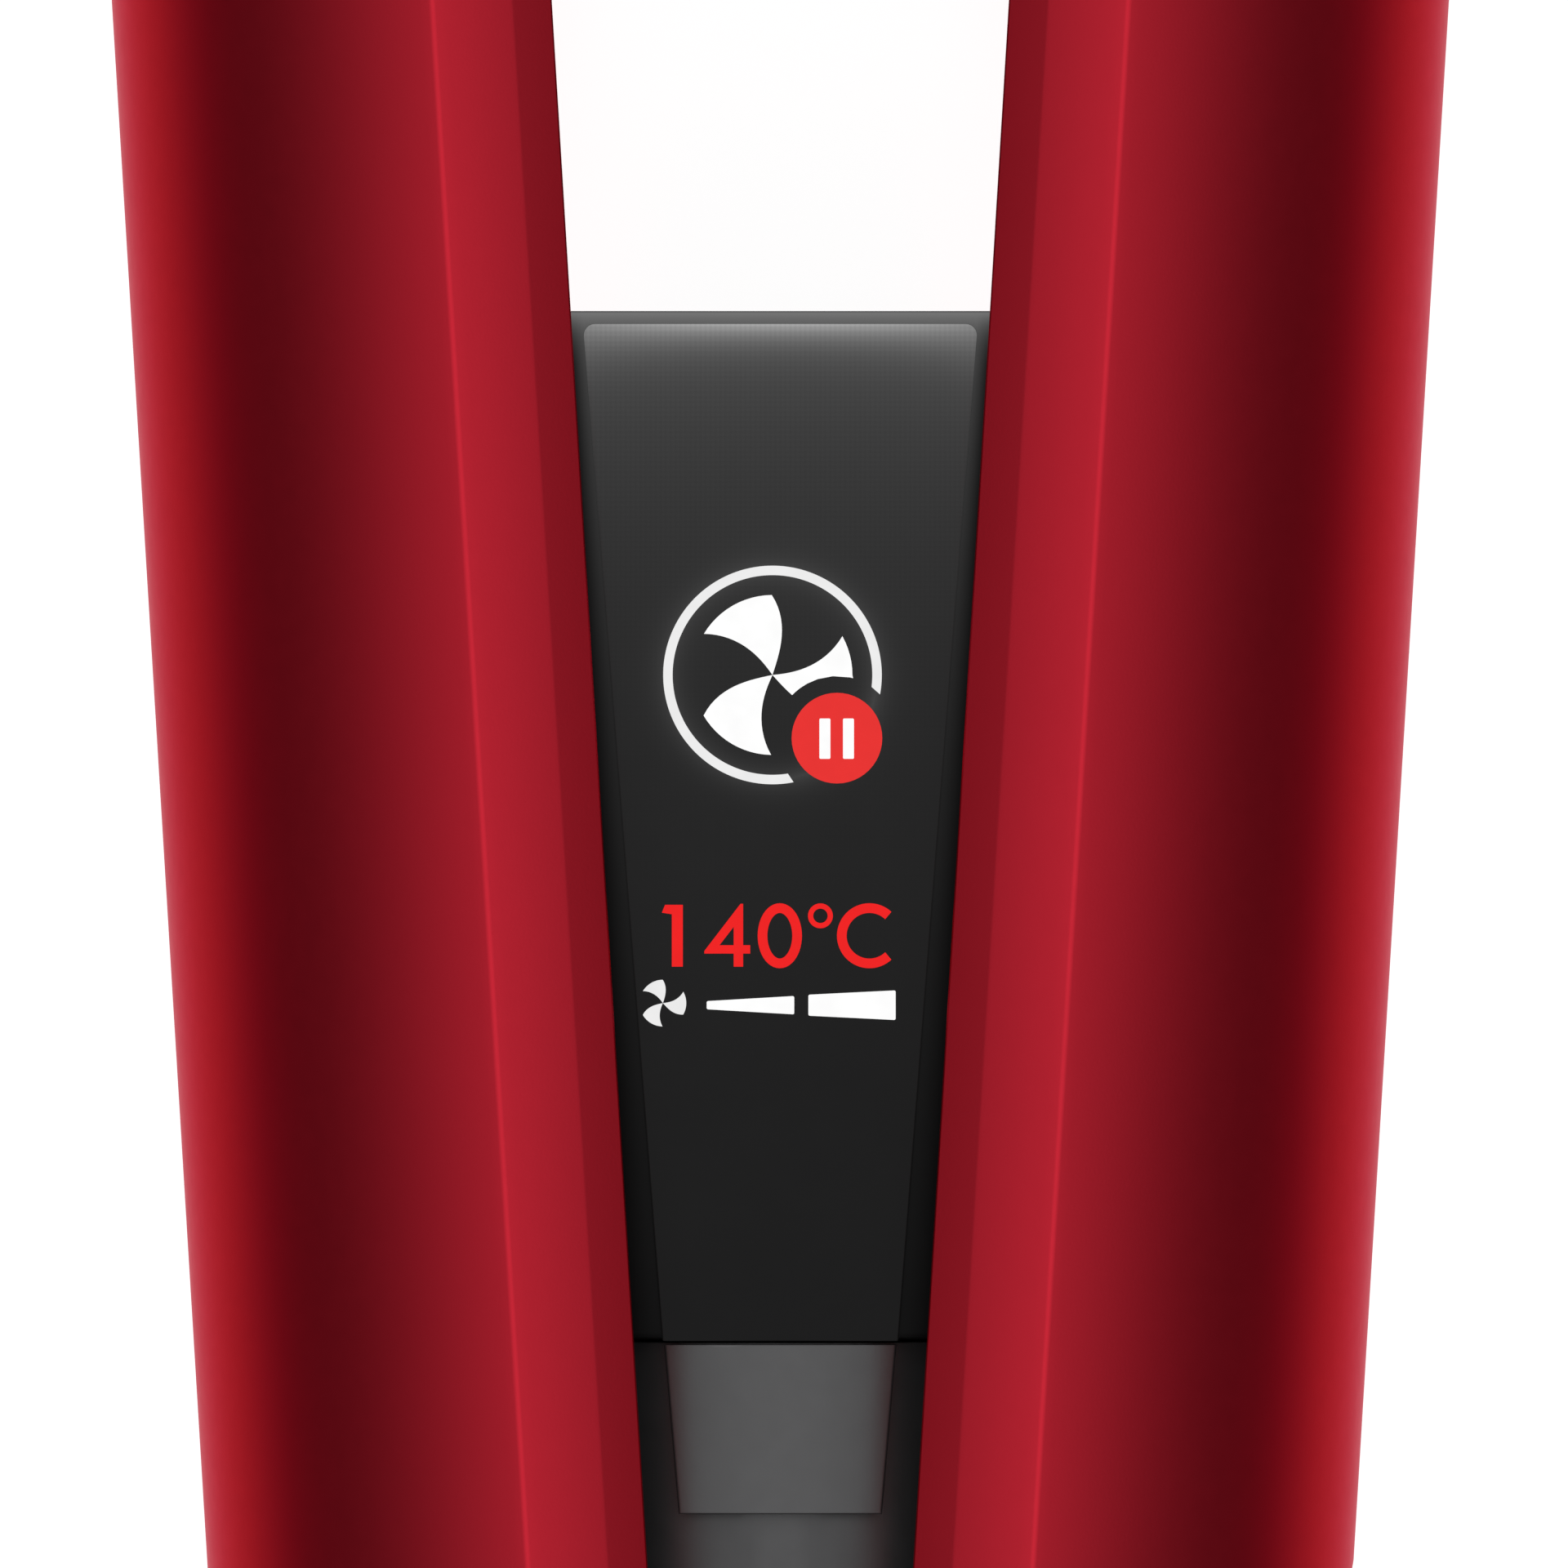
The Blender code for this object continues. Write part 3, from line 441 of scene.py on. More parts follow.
RED = finish("red_lacquer", (0.455, 0.0152, 0.029), 0.4, 0.94, mottle=0.035, grain=9000, relief=0.03,
             uneven=0.03, wear_and_highlight=0.3, Coat_Weight=0.04, Coat_Roughness=0.15, Coat_IOR=1.35,
             Specular_Tint=(1.0, 0.28, 0.38, 1.0))
GREY = finish("satin_grey", (0.062, 0.062, 0.0635), 0.43, 0.75, mottle=0.06, grain=7000, relief=0.03,
              uneven=0.05, wear_and_highlight=0.3)
SLIDER_GREY = finish("slider_grey", (0.073, 0.073, 0.0745), 0.37, 0.75, mottle=0.05, grain=7000,
                     relief=0.03, uneven=0.05, wear_and_highlight=0.3)
BLACK = finish("black_plastic", (0.014, 0.014, 0.0145), 0.42, mottle=0.1, grain=5000, relief=0.06,
               wear_and_highlight=0.2, Specular_IOR_Level=0.35)
# The surround's white emission carries painted light and shade, set by surround_glow.
HOUSING_BLACK = finish("display_surround", (0.0022, 0.0022, 0.0023), 0.34, mottle=0.1, grain=6000,
                       relief=0.03, wear_and_highlight=0.1, Specular_IOR_Level=0.02, Emission_Color=WHITE)
BOARD = finish("solder_mask", (0.012, 0.085, 0.035), 0.38, mottle=0.2, grain=1800, relief=0.05)
STEEL = finish("plain_steel", (0.56, 0.56, 0.57), 0.3, 1.0, mottle=0.06, grain=3500, relief=0.05,
               stretch=(1, 8, 1))
ALUMINIUM = finish("satin_aluminium", (0.66, 0.66, 0.68), 0.34, 1.0, mottle=0.05, grain=6000,
                   relief=0.05, stretch=(1, 0.15, 1))
JAW_METAL = finish("coated_jaw_plate", (0.10, 0.10, 0.105), 0.3, 0.8, mottle=0.06, grain=6000,
                   relief=0.04, stretch=(1, 0.12, 1))
RUBBER = finish("rubber", (0.016, 0.016, 0.017), 0.72, mottle=0.15, grain=3500, relief=0.15)
SILICONE = finish("silicone", (0.035, 0.035, 0.037), 0.6, mottle=0.12, grain=4000, relief=0.08)
MICA = finish("mica_board", (0.40, 0.33, 0.22), 0.62, mottle=0.3, grain=900, relief=0.2)
COPPER = finish("copper_windings", (0.60, 0.25, 0.11), 0.35, 1.0, mottle=0.12, grain=2500, relief=0.3,
                stretch=(1, 10, 1))
SIGN_GREY = finish("printed_sign", (0.42, 0.42, 0.42), 0.5, mottle=0.1, grain=4000, relief=0.05)
WHITE_LIT = lit("white_segment", (0.92, 0.92, 0.92))
GREY_LIT = lit("soft_white_segment", (0.78, 0.78, 0.78))
RED_LIT = lit("red_segment", (0.80, 0.008, 0.008))
BADGE_LIT = lit("badge_segment", (0.74, 0.024, 0.022))


# ---- arms ----


WALL = 1.8
LIP_BAND = 1.5
LIP_SLOPE_DEG = 33
CHAMFER_SLOPE_DEG = 21.2
CHAMFER_CROWN = 0.08
LIP_CORNER = 0.16
BAND_CORNER = 1.0
LIP_SET = 0.1
CREASE_CORNER = 0.4
CHAMFER_SHARES = (0.05, 0.2, 0.4, 0.6, 0.82)
ELLIPSE_STEPS = 48
SHELL_STATIONS = (SHELL_LOW.y, 0, 12, 25, 38, 60, 120, 180, SHELL_HIGH.y)


def half_section(wall, lip_z):
    """An arm's skin at a depth below its surface, from the front lip to the outermost point."""
    half_width = SHELL_HIGH.x - wall
    half_height = CREASE.z / math.sqrt(1 - (CREASE.x / SHELL_HIGH.x) ** 2) - wall
    crease_x = CREASE.x
    crease_z = half_height * math.sqrt(1 - (crease_x / half_width) ** 2)
    band_x = SHELL_LOW.x + max(LIP_BAND, wall + 0.5)
    band_z = crease_z - (crease_x - band_x) * math.tan(math.radians(CHAMFER_SLOPE_DEG))
    lip_x = SHELL_LOW.x + wall
    corner_z = band_z - (band_x - lip_x) * math.tan(math.radians(LIP_SLOPE_DEG))
    corners = [(lip_x, lip_z, 0.25), (lip_x, corner_z, LIP_CORNER), (band_x, band_z, BAND_CORNER)]
    for share in CHAMFER_SHARES:
        x = band_x + (crease_x - band_x) * share
        z = band_z + (crease_z - band_z) * share + CHAMFER_CROWN * 4 * share * (1 - share)
        corners.append((x, z, 0))
    corners.append((crease_x, crease_z, CREASE_CORNER))
    start = math.acos(crease_x / half_width)
    for step in range(1, ELLIPSE_STEPS + 1):
        angle = start * (1 - step / ELLIPSE_STEPS)
        corners.append((half_width * math.cos(angle), half_height * math.sin(angle), 0))
    return corners


def both_halves(front):
    """A front half outline and its mirror image, whose lip stands back a little so as not to show."""
    lip_x = min(x for x, z, radius in front)
    back = [(x + LIP_SET if x == lip_x else x, -z, radius) for x, z, radius in front]
    return front + back[-2::-1]


def arm_shell(name, button_nodes):
    lip_z = local_box("right_inner_cover", ARM)[1].z + 0.3
    outer = both_halves(half_section(0.0, lip_z))
    inner = both_halves(half_section(WALL, lip_z))
    outline = filleted(outer + inner[::-1])
    rings = [[(point.x, y, point.y) for point in outline] for y in SHELL_STATIONS]
    shell = soften(new_object(name, loft(rings), ARM), 0.2, 3, 60)
    for node in button_nodes:
        low, high = button_box(node)
        centre_y = (low.y + high.y) / 2
        radius = (high.y - low.y) / 2 - 0.7
        mouth = [(0, 12), (radius, 12), (radius, SHELL_HIGH.x - 0.45), (radius + 0.8, SHELL_HIGH.x + 1.2),
                 (0, SHELL_HIGH.x + 1.2)]
        cut(shell, lathe(mouth, 64, "Z"), ARM @ Matrix.Translation((0, centre_y, 0)) @ OUTWARDS)
    return shell


def button_box(node):
    """A side button's box in right-arm coordinates, whichever arm it is on."""
    mirror = Matrix.Diagonal((1 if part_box(node)[0].x > 0 else -1, 1, 1, 1))
    return local_box(node, mirror @ ARM)


TIP_ROUND = 2.6


def tip_cap():
    """Closes the arm's end, rounded towards the tip."""
    low, high = local_box("right_tip_cap", ARM)
    front = half_section(0.0, 0)[1:]
    section = filleted(both_halves(front))
    centre = Vector(((low.x + high.x) / 2, 0))
    half = Vector(((high.x - low.x) / 2, high.z))
    rims = [(0.2, low.y), (0.06, low.y + 0.06), (0, low.y + 0.2)]
    for step in range(13):
        angle = math.pi / 2 * step / 12
        rims.append((TIP_ROUND * (1 - math.cos(angle)), high.y - TIP_ROUND * (1 - math.sin(angle))))
    rings = []
    for inset, y in rims:
        scale = Vector((1 - inset / half.x, 1 - inset / half.y))
        rings.append([(centre.x + (p.x - centre.x) * scale.x, y, p.y * scale.y) for p in section])
    return new_object("right_tip", loft(rings), ARM)


COVER_FACE = local_box("right_inner_cover", ARM)[0].x + LIP_SET
JAW_SEAT = COVER_FACE + 0.1
SLOT_ROWS = (-4, 4)


def slot_cutter(node, width):
    """Cutters for the two long air slots of a jaw piece, drawn in the jaw plane."""
    low, high = local_box(node, ARM)
    start, end = low.y + 6, high.y - 6
    if node == "right_inner_cover":
        start, end = low.y + 16, high.y - 9.7
    parts = []
    for z in SLOT_ROWS:
        def plan(inset, z=z):
            return rectangle((z - width / 2, start), (z + width / 2, end), inset, width / 2)
        parts.append(plate(plan, -high.x - 1, -low.x + 1))
    return joined(parts)


def jaw_plate(name, node, corner, edge, face, back):
    """A flat piece on the inner side of the arm, from x = face, where it is rounded, to x = back."""
    low, high = local_box(node, ARM)

    def plan(inset):
        return rectangle((low.z, low.y), (high.z, high.y), inset, corner)
    return new_object(name, plate(plan, -back, -face, edge, 0.1), ARM @ JAW_PLANE)


def tension_frame():
    """A silicone loop round the nozzle plate, with a fine groove along its crown."""
    low, high = local_box("right_tension_frame", ARM)
    high.x = JAW_SEAT
    plate_low = local_box("right_nozzle_plate", ARM)[0]
    gap = 0.4
    width = plate_low.z - gap - low.z
    loop = []
    back = high.x - low.x
    for inset, rise in ((0.0, back), (0.0, 0.7), (0.2, 0.2), (0.7, 0), (1.1, 0), (1.25, 0.25), (1.5, 0.35),
                        (1.75, 0.25), (1.9, 0), (width - 0.6, 0), (width - 0.15, 0.2), (width, 0.6),
                        (width, back)):
        corner = 2.6 if inset < width else 1.0
        ring = rectangle((low.z, low.y), (high.z, high.y), inset, max(corner, inset + 0.8))
        loop.append([(low.x + rise, p.y, p.x) for p in ring])
    return new_object("right_tension_loop", loft(loop + loop[:1], caps=False), ARM)


def air_vanes():
    """Slanting vanes that stand in the two air slots."""
    low, high = local_box("right_nozzle_plate", ARM)
    vanes = []
    tilt = Matrix.Rotation(math.radians(32), 4, "Z")
    for row in SLOT_ROWS:
        for index in range(15):
            y = low.y + 10 + (high.y - low.y - 20) * index / 14
            vane = box((-0.75, -0.22, -1.15), (0.75, 0.22, 1.15))
            vanes.append(turned_copy(vane, Matrix.Translation((1.7, y, row)) @ tilt))
    return new_object("right_air_vanes", joined(vanes), ARM)


def cover_screws(cover):
    """Two small socket screws, sunk in the handle end of the inner cover."""
    low = local_box("right_inner_cover", ARM)[0]
    heads = []
    for up in (-9.5, 9.5):
        turn = Matrix.Translation((low.x + 0.75, low.y + 4.2, up)) @ OUTWARDS.inverted()
        bore = lathe([(0, 0), (1.62, 0), (1.62, 1.5), (0, 1.5)], 40, "Z")
        cut(cover, bore, ARM @ turn)
        profile = [(0, 0), (1.5, 0), (1.5, 0.36), (1.36, 0.5), (0.66, 0.5), (0.6, 0.18), (0, 0.18)]
        heads.append(turned_copy(lathe(profile, 36, "Z"), turn))
    return new_object("right_cover_screws", joined(heads), ARM)


def side_button(node):
    """A dished round button with a retaining flange inside the shell."""
    low, high = button_box(node)
    radius, top, foot = 3.1, high.x, low.x
    flange = (high.y - low.y) / 2
    profile = [(0, top - 0.35, 0), (1.5, top - 0.3, 2), (2.55, top, 0.25), (radius, top - 0.45, 0.3),
               (radius, foot + 0.8, 0), (flange, foot + 0.8, 0.1), (flange, foot, 0.1), (0, foot, 0)]
    bm = lathe(filleted(profile, closed=False), 64, "Z")
    place = Matrix.Translation((0, (low.y + high.y) / 2, 0)) @ OUTWARDS
    return new_object(node + "_cap", bm, ARM @ place)


def button_art(node):
    """A small sign for what a button does: a rising set of bars, a fan or a star of frost."""
    if node == "temperature_button":
        bars = [patch(rectangle((-1.0 + 0.75 * i, -0.95), (-0.5 + 0.75 * i, -0.2 + 0.55 * i), 0, 0.1))
                for i in range(3)]
        return joined(bars)
    if node == "airflow_button":
        return joined([patch(blade((0, 0), 1.2, turn)) for turn in (0, 120, 240)])
    arms = []
    for index in range(3):
        turn = Vector((math.cos(math.pi * index / 3), math.sin(math.pi * index / 3)))
        arms.append(ribbon([-1.2 * turn, 1.2 * turn], 0.22))
    return joined(arms)


def button_sign(node):
    low, high = button_box(node)
    place = Matrix.Translation((high.x - 0.3, (low.y + high.y) / 2, 0)) @ OUTWARDS
    return thickened(new_object(node + "_sign", button_art(node), ARM @ place), 0.08)


def to_left_arm(piece):
    """Moves a piece drawn for the right arm to the left arm."""
    name = piece.name
    twin = left_twin(piece, name + "_left")
    bpy.data.objects.remove(piece)
    twin.name = name
    return twin


def build_arms():
    right = arm_shell("right_shell", ("temperature_button", "airflow_button"))
    dress(right, "right_arm", "red_shell", RED, "right_arm_shell")
    left = to_left_arm(arm_shell("left_shell", ("cool_button",)))
    dress(left, "left_arm", "red_shell", RED, "left_arm_shell")
    dress_both(tip_cap(), "tip", "red_shell", RED, "tip_cap")
    cover_back = local_box("right_inner_cover", ARM)[1].x
    cover = jaw_plate("right_cover", "right_inner_cover", 0.8, 0.35, COVER_FACE, cover_back)
    cut(cover, slot_cutter("right_inner_cover", 3.0), ARM @ JAW_PLANE)
    dress_both(cover_screws(cover), "cover_screws", "steel", STEEL)
    dress_both(cover, "cover", "black_plastic", BLACK, "inner_cover")
    nozzle_face = local_box("right_nozzle_plate", ARM)[0].x
    nozzle = jaw_plate("right_nozzle", "right_nozzle_plate", 2.0, 0.8, nozzle_face, JAW_SEAT)
    cut(nozzle, slot_cutter("right_nozzle_plate", 2.4), ARM @ JAW_PLANE)
    soften(nozzle, 0.12, 2, 60)
    dress_both(nozzle, "nozzle", "aluminium", JAW_METAL, "nozzle_plate")
    dress_both(tension_frame(), "tension_loop", "silicone", SILICONE, "tension_frame")
    dress_both(air_vanes(), "air_vanes", "aluminium", JAW_METAL)
    for node in ("temperature_button", "airflow_button", "cool_button"):
        cap, sign = side_button(node), button_sign(node)
        if node == "cool_button":
            cap, sign = to_left_arm(cap), to_left_arm(sign)
        dress(cap, node, "black_plastic", BLACK, node)
        dress(sign, node, "lcd", SIGN_GREY)


# ---- display ----


LENS_LOW, LENS_HIGH = local_box("display_lens", NECK)
HOUSING_LOW, HOUSING_HIGH = local_box("display_housing", NECK)
LENS_NARROW = 4.49
LENS_WIDE = LENS_HIGH.x + 0.13
HOUSING_NARROW = 7.0
LENS_CORNER = 0.42
FAN_CENTRE = (-0.30, 67.91)
FAN_RADIUS = 3.05
RING_RADIUS = 3.99
RING_STROKE = 0.36
BADGE_CENTRE = (2.16, 65.5)
BADGE_RADIUS = 1.73
BADGE_CLEAR = 2.37
LENS_START = HOUSING_LOW.y + 0.09
SURROUND_START = HOUSING_LOW.y + 0.18
SLEEVE_END = HOUSING_LOW.y + 0.05
PAD_END = HOUSING_LOW.y - 0.03


def lens_plan(inset):
    """The window's outline, square at its near end and rounded at its far end."""
    return tapered(LENS_START, LENS_HIGH.y, LENS_NARROW, LENS_WIDE, inset, LENS_CORNER, 0.06)


def housing_plan(inset, start=HOUSING_LOW.y):
    return tapered(start, HOUSING_HIGH.y, HOUSING_NARROW, HOUSING_HIGH.x, inset, 0.5)


# Painted glows, each a sum of (strength, reach in mm): a painted reflection on the window and painted light
# on its surround; and how the painted light and shade of the strip beside the window grades.
FAR_EDGE_GLOW = ((0.3, 0.4), (0.035, 1.6))
WINDOW_GLOW = ((0.048, 9.5),)
SURROUND_GLOW = ((0.16, 0.5), (0.008, 4.5), (0.026, 14.5))
RING_GLOW = ((0.03, 0.4),)
SIDE_GLOW, SIDE_SHADE = 0.84, 1.42
STRIP_WIDTH, STRIP_WIDENING = 0.45, 0.0167


def decay(tree, distance, strengths):
    """Light that dies away with distance in mm: a sum of (strength, reach) exponentials."""
    total = 0.0
    for strength, reach in strengths:
        power = maths(tree, "EXPONENT", maths(tree, "DIVIDE", distance, -reach))
        total = maths(tree, "ADD", maths(tree, "MULTIPLY", power, strength), total)
    return total


def depth_from(tree, end_y):
    """Separated coordinates, and how many mm a point lies short of the display's far end."""
    place = split(tree, add(tree, "TexCoord").outputs["Object"])
    top = (NECK @ Vector((0, end_y, 0))).y
    return place, maths(tree, "DIVIDE", maths(tree, "SUBTRACT", top, place[1]), MM)


def side_share(tree, place, depth):
    """How far a point lies across the strip beside the window: 0 at the window, 1 next to the arm."""
    slope = (LENS_WIDE - LENS_NARROW) / (LENS_HIGH.y - LENS_START)
    edge = maths(tree, "SUBTRACT", LENS_WIDE, maths(tree, "MULTIPLY", depth, slope))
    aside = maths(tree, "DIVIDE", maths(tree, "ABSOLUTE", place[0]), MM)
    beside = maths(tree, "SUBTRACT", aside, edge)
    strip = maths(tree, "ADD", maths(tree, "MULTIPLY", depth, STRIP_WIDENING), STRIP_WIDTH)
    share = maths(tree, "MAXIMUM", maths(tree, "DIVIDE", beside, strip), 0.0)
    return maths(tree, "MINIMUM", share, 1.0)


def surround_glow(material):
    """Painted light on the surround: a bright line on its far rim and a faint light on its upward faces,
    lighter beside the window, with painted shade next to the arms.
    """
    tree = material.node_tree
    shader = tree.nodes["Principled BSDF"]
    place, depth = depth_from(tree, HOUSING_HIGH.y)
    facing = split(tree, add(tree, "NewGeometry").outputs["Normal"])
    # Painted light is kept to upward faces, as if it fell from above.
    upward = spread(tree, facing[2], 0, 1, 0.2, 0.7)
    glow = maths(tree, "MULTIPLY", decay(tree, depth, SURROUND_GLOW), upward)
    # Painted shade: the strip beside the window darkens towards the arms, where their lips shade it.
    shade = maths(tree, "MULTIPLY", side_share(tree, place, depth), SIDE_SHADE)
    beside = maths(tree, "MINIMUM", maths(tree, "MULTIPLY", depth, 0.5), 1.0)
    change = maths(tree, "MULTIPLY", maths(tree, "SUBTRACT", SIDE_GLOW, shade), beside)
    glow = maths(tree, "MULTIPLY", glow, maths(tree, "ADD", change, 1.0))
    tree.links.new(glow, shader.inputs["Emission Strength"])


def ring_halo(tree, place):
    """Light that the ring of the fan sign sheds on the window beside it."""
    centre = (NECK @ Vector((*FAN_CENTRE, 0))).xy
    squares = [maths(tree, "POWER", maths(tree, "SUBTRACT", at, mid), 2.0) for at, mid in zip(place, centre)]
    radius = maths(tree, "DIVIDE", maths(tree, "SQRT", maths(tree, "ADD", *squares)), MM)
    off = maths(tree, "ABSOLUTE", maths(tree, "SUBTRACT", radius, RING_RADIUS))
    return decay(tree, off, RING_GLOW)


def lens_glass():
    """Smoked window over a faintly lit panel, with a painted glow from its far end that stands in for a
    reflection of the soft light above.
    """
    material, tree, shader = new_material("smoked_window", IOR=1.13, Emission_Color=WHITE)
    place, depth = depth_from(tree, LENS_HIGH.y)
    side = maths(tree, "DIVIDE", maths(tree, "ABSOLUTE", place[0]), LENS_HIGH.x * MM)
    side = maths(tree, "POWER", side, 2.0)
    arch = maths(tree, "SUBTRACT", 1.0, maths(tree, "MULTIPLY", side, 0.5))
    arched = maths(tree, "MULTIPLY", depth, arch)
    fainter = maths(tree, "SUBTRACT", 1.0, maths(tree, "MULTIPLY", side, 0.4))
    # Painted reflection: a glow from the far end, arched and fainter to the sides, with a broader painted
    # fall-off down the window.
    far_edge = maths(tree, "MULTIPLY", decay(tree, arched, FAR_EDGE_GLOW), fainter)
    glow = maths(tree, "ADD", far_edge, decay(tree, depth, WINDOW_GLOW))
    for direction in ("X", "Y"):
        wave = add(tree, "TexWave", wave_type="BANDS", bands_direction=direction, Scale=1650.0)
        tree.links.new(add(tree, "TexCoord").outputs["Object"], wave.inputs["Vector"])
        glow = maths(tree, "MULTIPLY", glow, spread(tree, wave.outputs["Fac"], 0.965, 1.035))
    glow = maths(tree, "ADD", glow, ring_halo(tree, place))
    glow = maths(tree, "ADD", glow, spread(tree, noise(tree, 120, 2), 0.002, 0.004))
    tree.links.new(glow, shader.inputs["Emission Strength"])
    dark = blended(tree, noise(tree, 700, 3), (0.0045, 0.0045, 0.0047), (0.006, 0.006, 0.0062))
    tree.links.new(dark, shader.inputs["Base Color"])
    tree.links.new(spread(tree, noise(tree, 260, 3), 0.16, 0.22), shader.inputs["Roughness"])
    return material


def ribbon(points, width, closed=False):
    """A flat stroke of one width along a line of (x, y) points."""
    count = len(points)
    bm = bmesh.new()
    pairs = []
    for index, here in enumerate(points):
        before = points[index - 1] if closed or index else here
        after = points[(index + 1) % count] if closed or index < count - 1 else here
        along = (Vector(after) - Vector(before)).normalized()
        across = Vector((-along.y, along.x)) * width / 2
        pairs.append([bm.verts.new((*(Vector(here) + side * across), 0)) for side in (-1, 1)])
    for index in range(count if closed else count - 1):
        near, far = pairs[index], pairs[(index + 1) % count]
        bm.faces.new((near[0], far[0], far[1], near[1]))
    return bm


def patch(points):
    """A flat face inside an outline of (x, y) points."""
    bm = bmesh.new()
    bm.faces.new([bm.verts.new((*point, 0)) for point in points])
    return bm


def pierced(outer, inner):
    """A flat face between an outline and a hole in it."""
    bm = bmesh.new()
    for outline in (outer, inner):
        drawn = [bm.verts.new((*point, 0)) for point in outline]
        for start, end in zip(drawn, drawn[1:] + drawn[:1]):
            bm.edges.new((start, end))
    bmesh.ops.triangle_fill(bm, edges=bm.edges, use_beauty=True)
    return bm


def bow(centre, radius, start_deg, end_deg, steps=48):
    angles = [math.radians(start_deg + (end_deg - start_deg) * step / steps) for step in range(steps + 1)]
    return [Vector((centre[0] + radius * math.cos(a), centre[1] + radius * math.sin(a))) for a in angles]


def blade(centre, radius, turn_deg):
    """One swept fan blade, between two curved edges."""
    lead, trail, steps = [], [], 14
    for step in range(1, steps + 1):
        share = step / steps
        for edge, start, sweep, power in ((lead, 72, 18.5, 2.0), (trail, 125, 24, 1.4)):
            angle = math.radians(turn_deg + start + sweep * share ** power)
            edge.append(Vector((math.cos(angle), math.sin(angle))) * radius * share)
    rim = bow((0, 0), radius, turn_deg + 90.5, turn_deg + 149, 12)[1:-1]
    points = [Vector((0, 0))] + lead + rim + trail[::-1]
    return [point + Vector(centre) for point in points]


def clear_of_badge(points):
    """Moves the points that lie too near the badge out to a circle round it."""
    centre = Vector(BADGE_CENTRE)
    return [centre + (p - centre).normalized() * max(BADGE_CLEAR, (p - centre).length) for p in points]


def segments_object(name, bm, material):
    """A lit segment: flat artwork given a little thickness, on the window's face."""
    lift = LENS_HIGH.z + 0.012
    bmesh.ops.recalc_face_normals(bm, faces=bm.faces)
    obj = new_object(name, bm, NECK @ Matrix.Translation((0, 0, lift)))
    return dress(thickened(obj, 0.03), BODY, "lcd", material)


def temperature_digits():
    """The reading 140 with a degree sign and a C, as plain strokes."""
    foot, head, stroke = 56.78, 59.14, 0.37
    middle = (foot + head) / 2

    def raised(*points):
        return [(x, foot + rise) for x, rise in points]
    one = patch(raised((-4.14, 0), (-3.72, 0), (-3.72, 2.36), (-4.40, 2.36), (-4.52, 2.06), (-4.14, 2.00)))
    four = pierced(raised((-1.78, 0), (-1.42, 0), (-1.42, 0.50), (-1.15, 0.50), (-1.15, 0.82), (-1.42, 0.82),
                          (-1.42, 2.40), (-1.52, 2.40), (-2.90, 0.60), (-2.90, 0.50), (-1.78, 0.50)),
                   raised((-2.32, 0.82), (-1.78, 0.82), (-1.78, 1.52)))
    round_height = (head - foot) / 2 - stroke / 2 + 0.06
    turns = [math.pi * step / 24 for step in range(48)]
    nought = [(-0.02 + 0.66 * math.cos(turn), middle + round_height * math.sin(turn)) for turn in turns]
    degree = bow((1.53, 58.72), 0.375, 0, 360)[:-1]
    see = bow((3.40, middle), round_height, 47, 313)
    strokes = [ribbon(nought, stroke, True), ribbon(degree, 0.2, True), ribbon(see, stroke)]
    return joined([one, four] + strokes)


def symbols():
    edges = []
    for side in (1, -1):
        arc = bow(FAN_CENTRE, RING_RADIUS + side * RING_STROKE / 2, -44, 316, 320)
        edges.append([p for p in arc if (p - Vector(BADGE_CENTRE)).length > BADGE_CLEAR - 0.06])
    segments_object("segment_ring", patch(edges[0] + edges[1][::-1]), GREY_LIT)
    blades = [blade(FAN_CENTRE, FAN_RADIUS, turn) for turn in (0, 120)]
    blades.append(clear_of_badge(blade(FAN_CENTRE, FAN_RADIUS, 240)))
    segments_object("segment_fan", joined([patch(points) for points in blades]), WHITE_LIT)
    segments_object("segment_badge", patch(bow(BADGE_CENTRE, BADGE_RADIUS, 0, 360)[:-1]), BADGE_LIT)
    bars = joined([patch(rectangle((x - 0.21, 64.71), (x + 0.21, 66.25), 0, 0.05)) for x in (1.70, 2.60)])
    segments_object("segment_pause", turned_copy(bars, Matrix.Translation((0, 0, 0.03))), WHITE_LIT)
    segments_object("segment_temperature", temperature_digits(), RED_LIT)
    small = joined([patch(blade((-4.48, 55.39), 0.89, turn)) for turn in (0, 120, 240)])
    segments_object("segment_small_fan", small, GREY_LIT)
    wedges = []
    for start, end, low, high in ((-2.81, 0.53, 0.31, 0.70), (1.07, 4.40, 0.80, 1.13)):
        corners = ((start, -low / 2), (end, -high / 2), (end, high / 2), (start, low / 2))
        outline = filleted([(x, y, 0.06) for x, y in corners])
        wedges.append(patch([p + Vector((0, 55.31)) for p in outline]))
    segments_object("segment_airflow", joined(wedges), WHITE_LIT)


def build_display():
    def surround_plan(inset):
        return housing_plan(inset, SURROUND_START)
    surround = plate(surround_plan, HOUSING_LOW.z, HOUSING_HIGH.z, 0.3, 0.1)
    housing = new_object("display_surround", surround, NECK)
    for drawn_in, low_z, high_z in ((-0.02, LENS_LOW.z - 0.15, LENS_HIGH.z + 1),
                                    (0.5, HOUSING_LOW.z + 0.8, LENS_HIGH.z)):
        cut(housing, plate(lambda inset: lens_plan(inset + drawn_in), low_z, high_z), NECK)
    surround_glow(HOUSING_BLACK)
    dress(housing, BODY, "black_plastic", HOUSING_BLACK, "display_housing")
    lens = new_object("display_window", plate(lens_plan, LENS_LOW.z, LENS_HIGH.z, 0.04, 0.0, 4), NECK)
    dress(lens, BODY, "display_glass", lens_glass(), "display_lens")
    symbols()
    build_splitter()


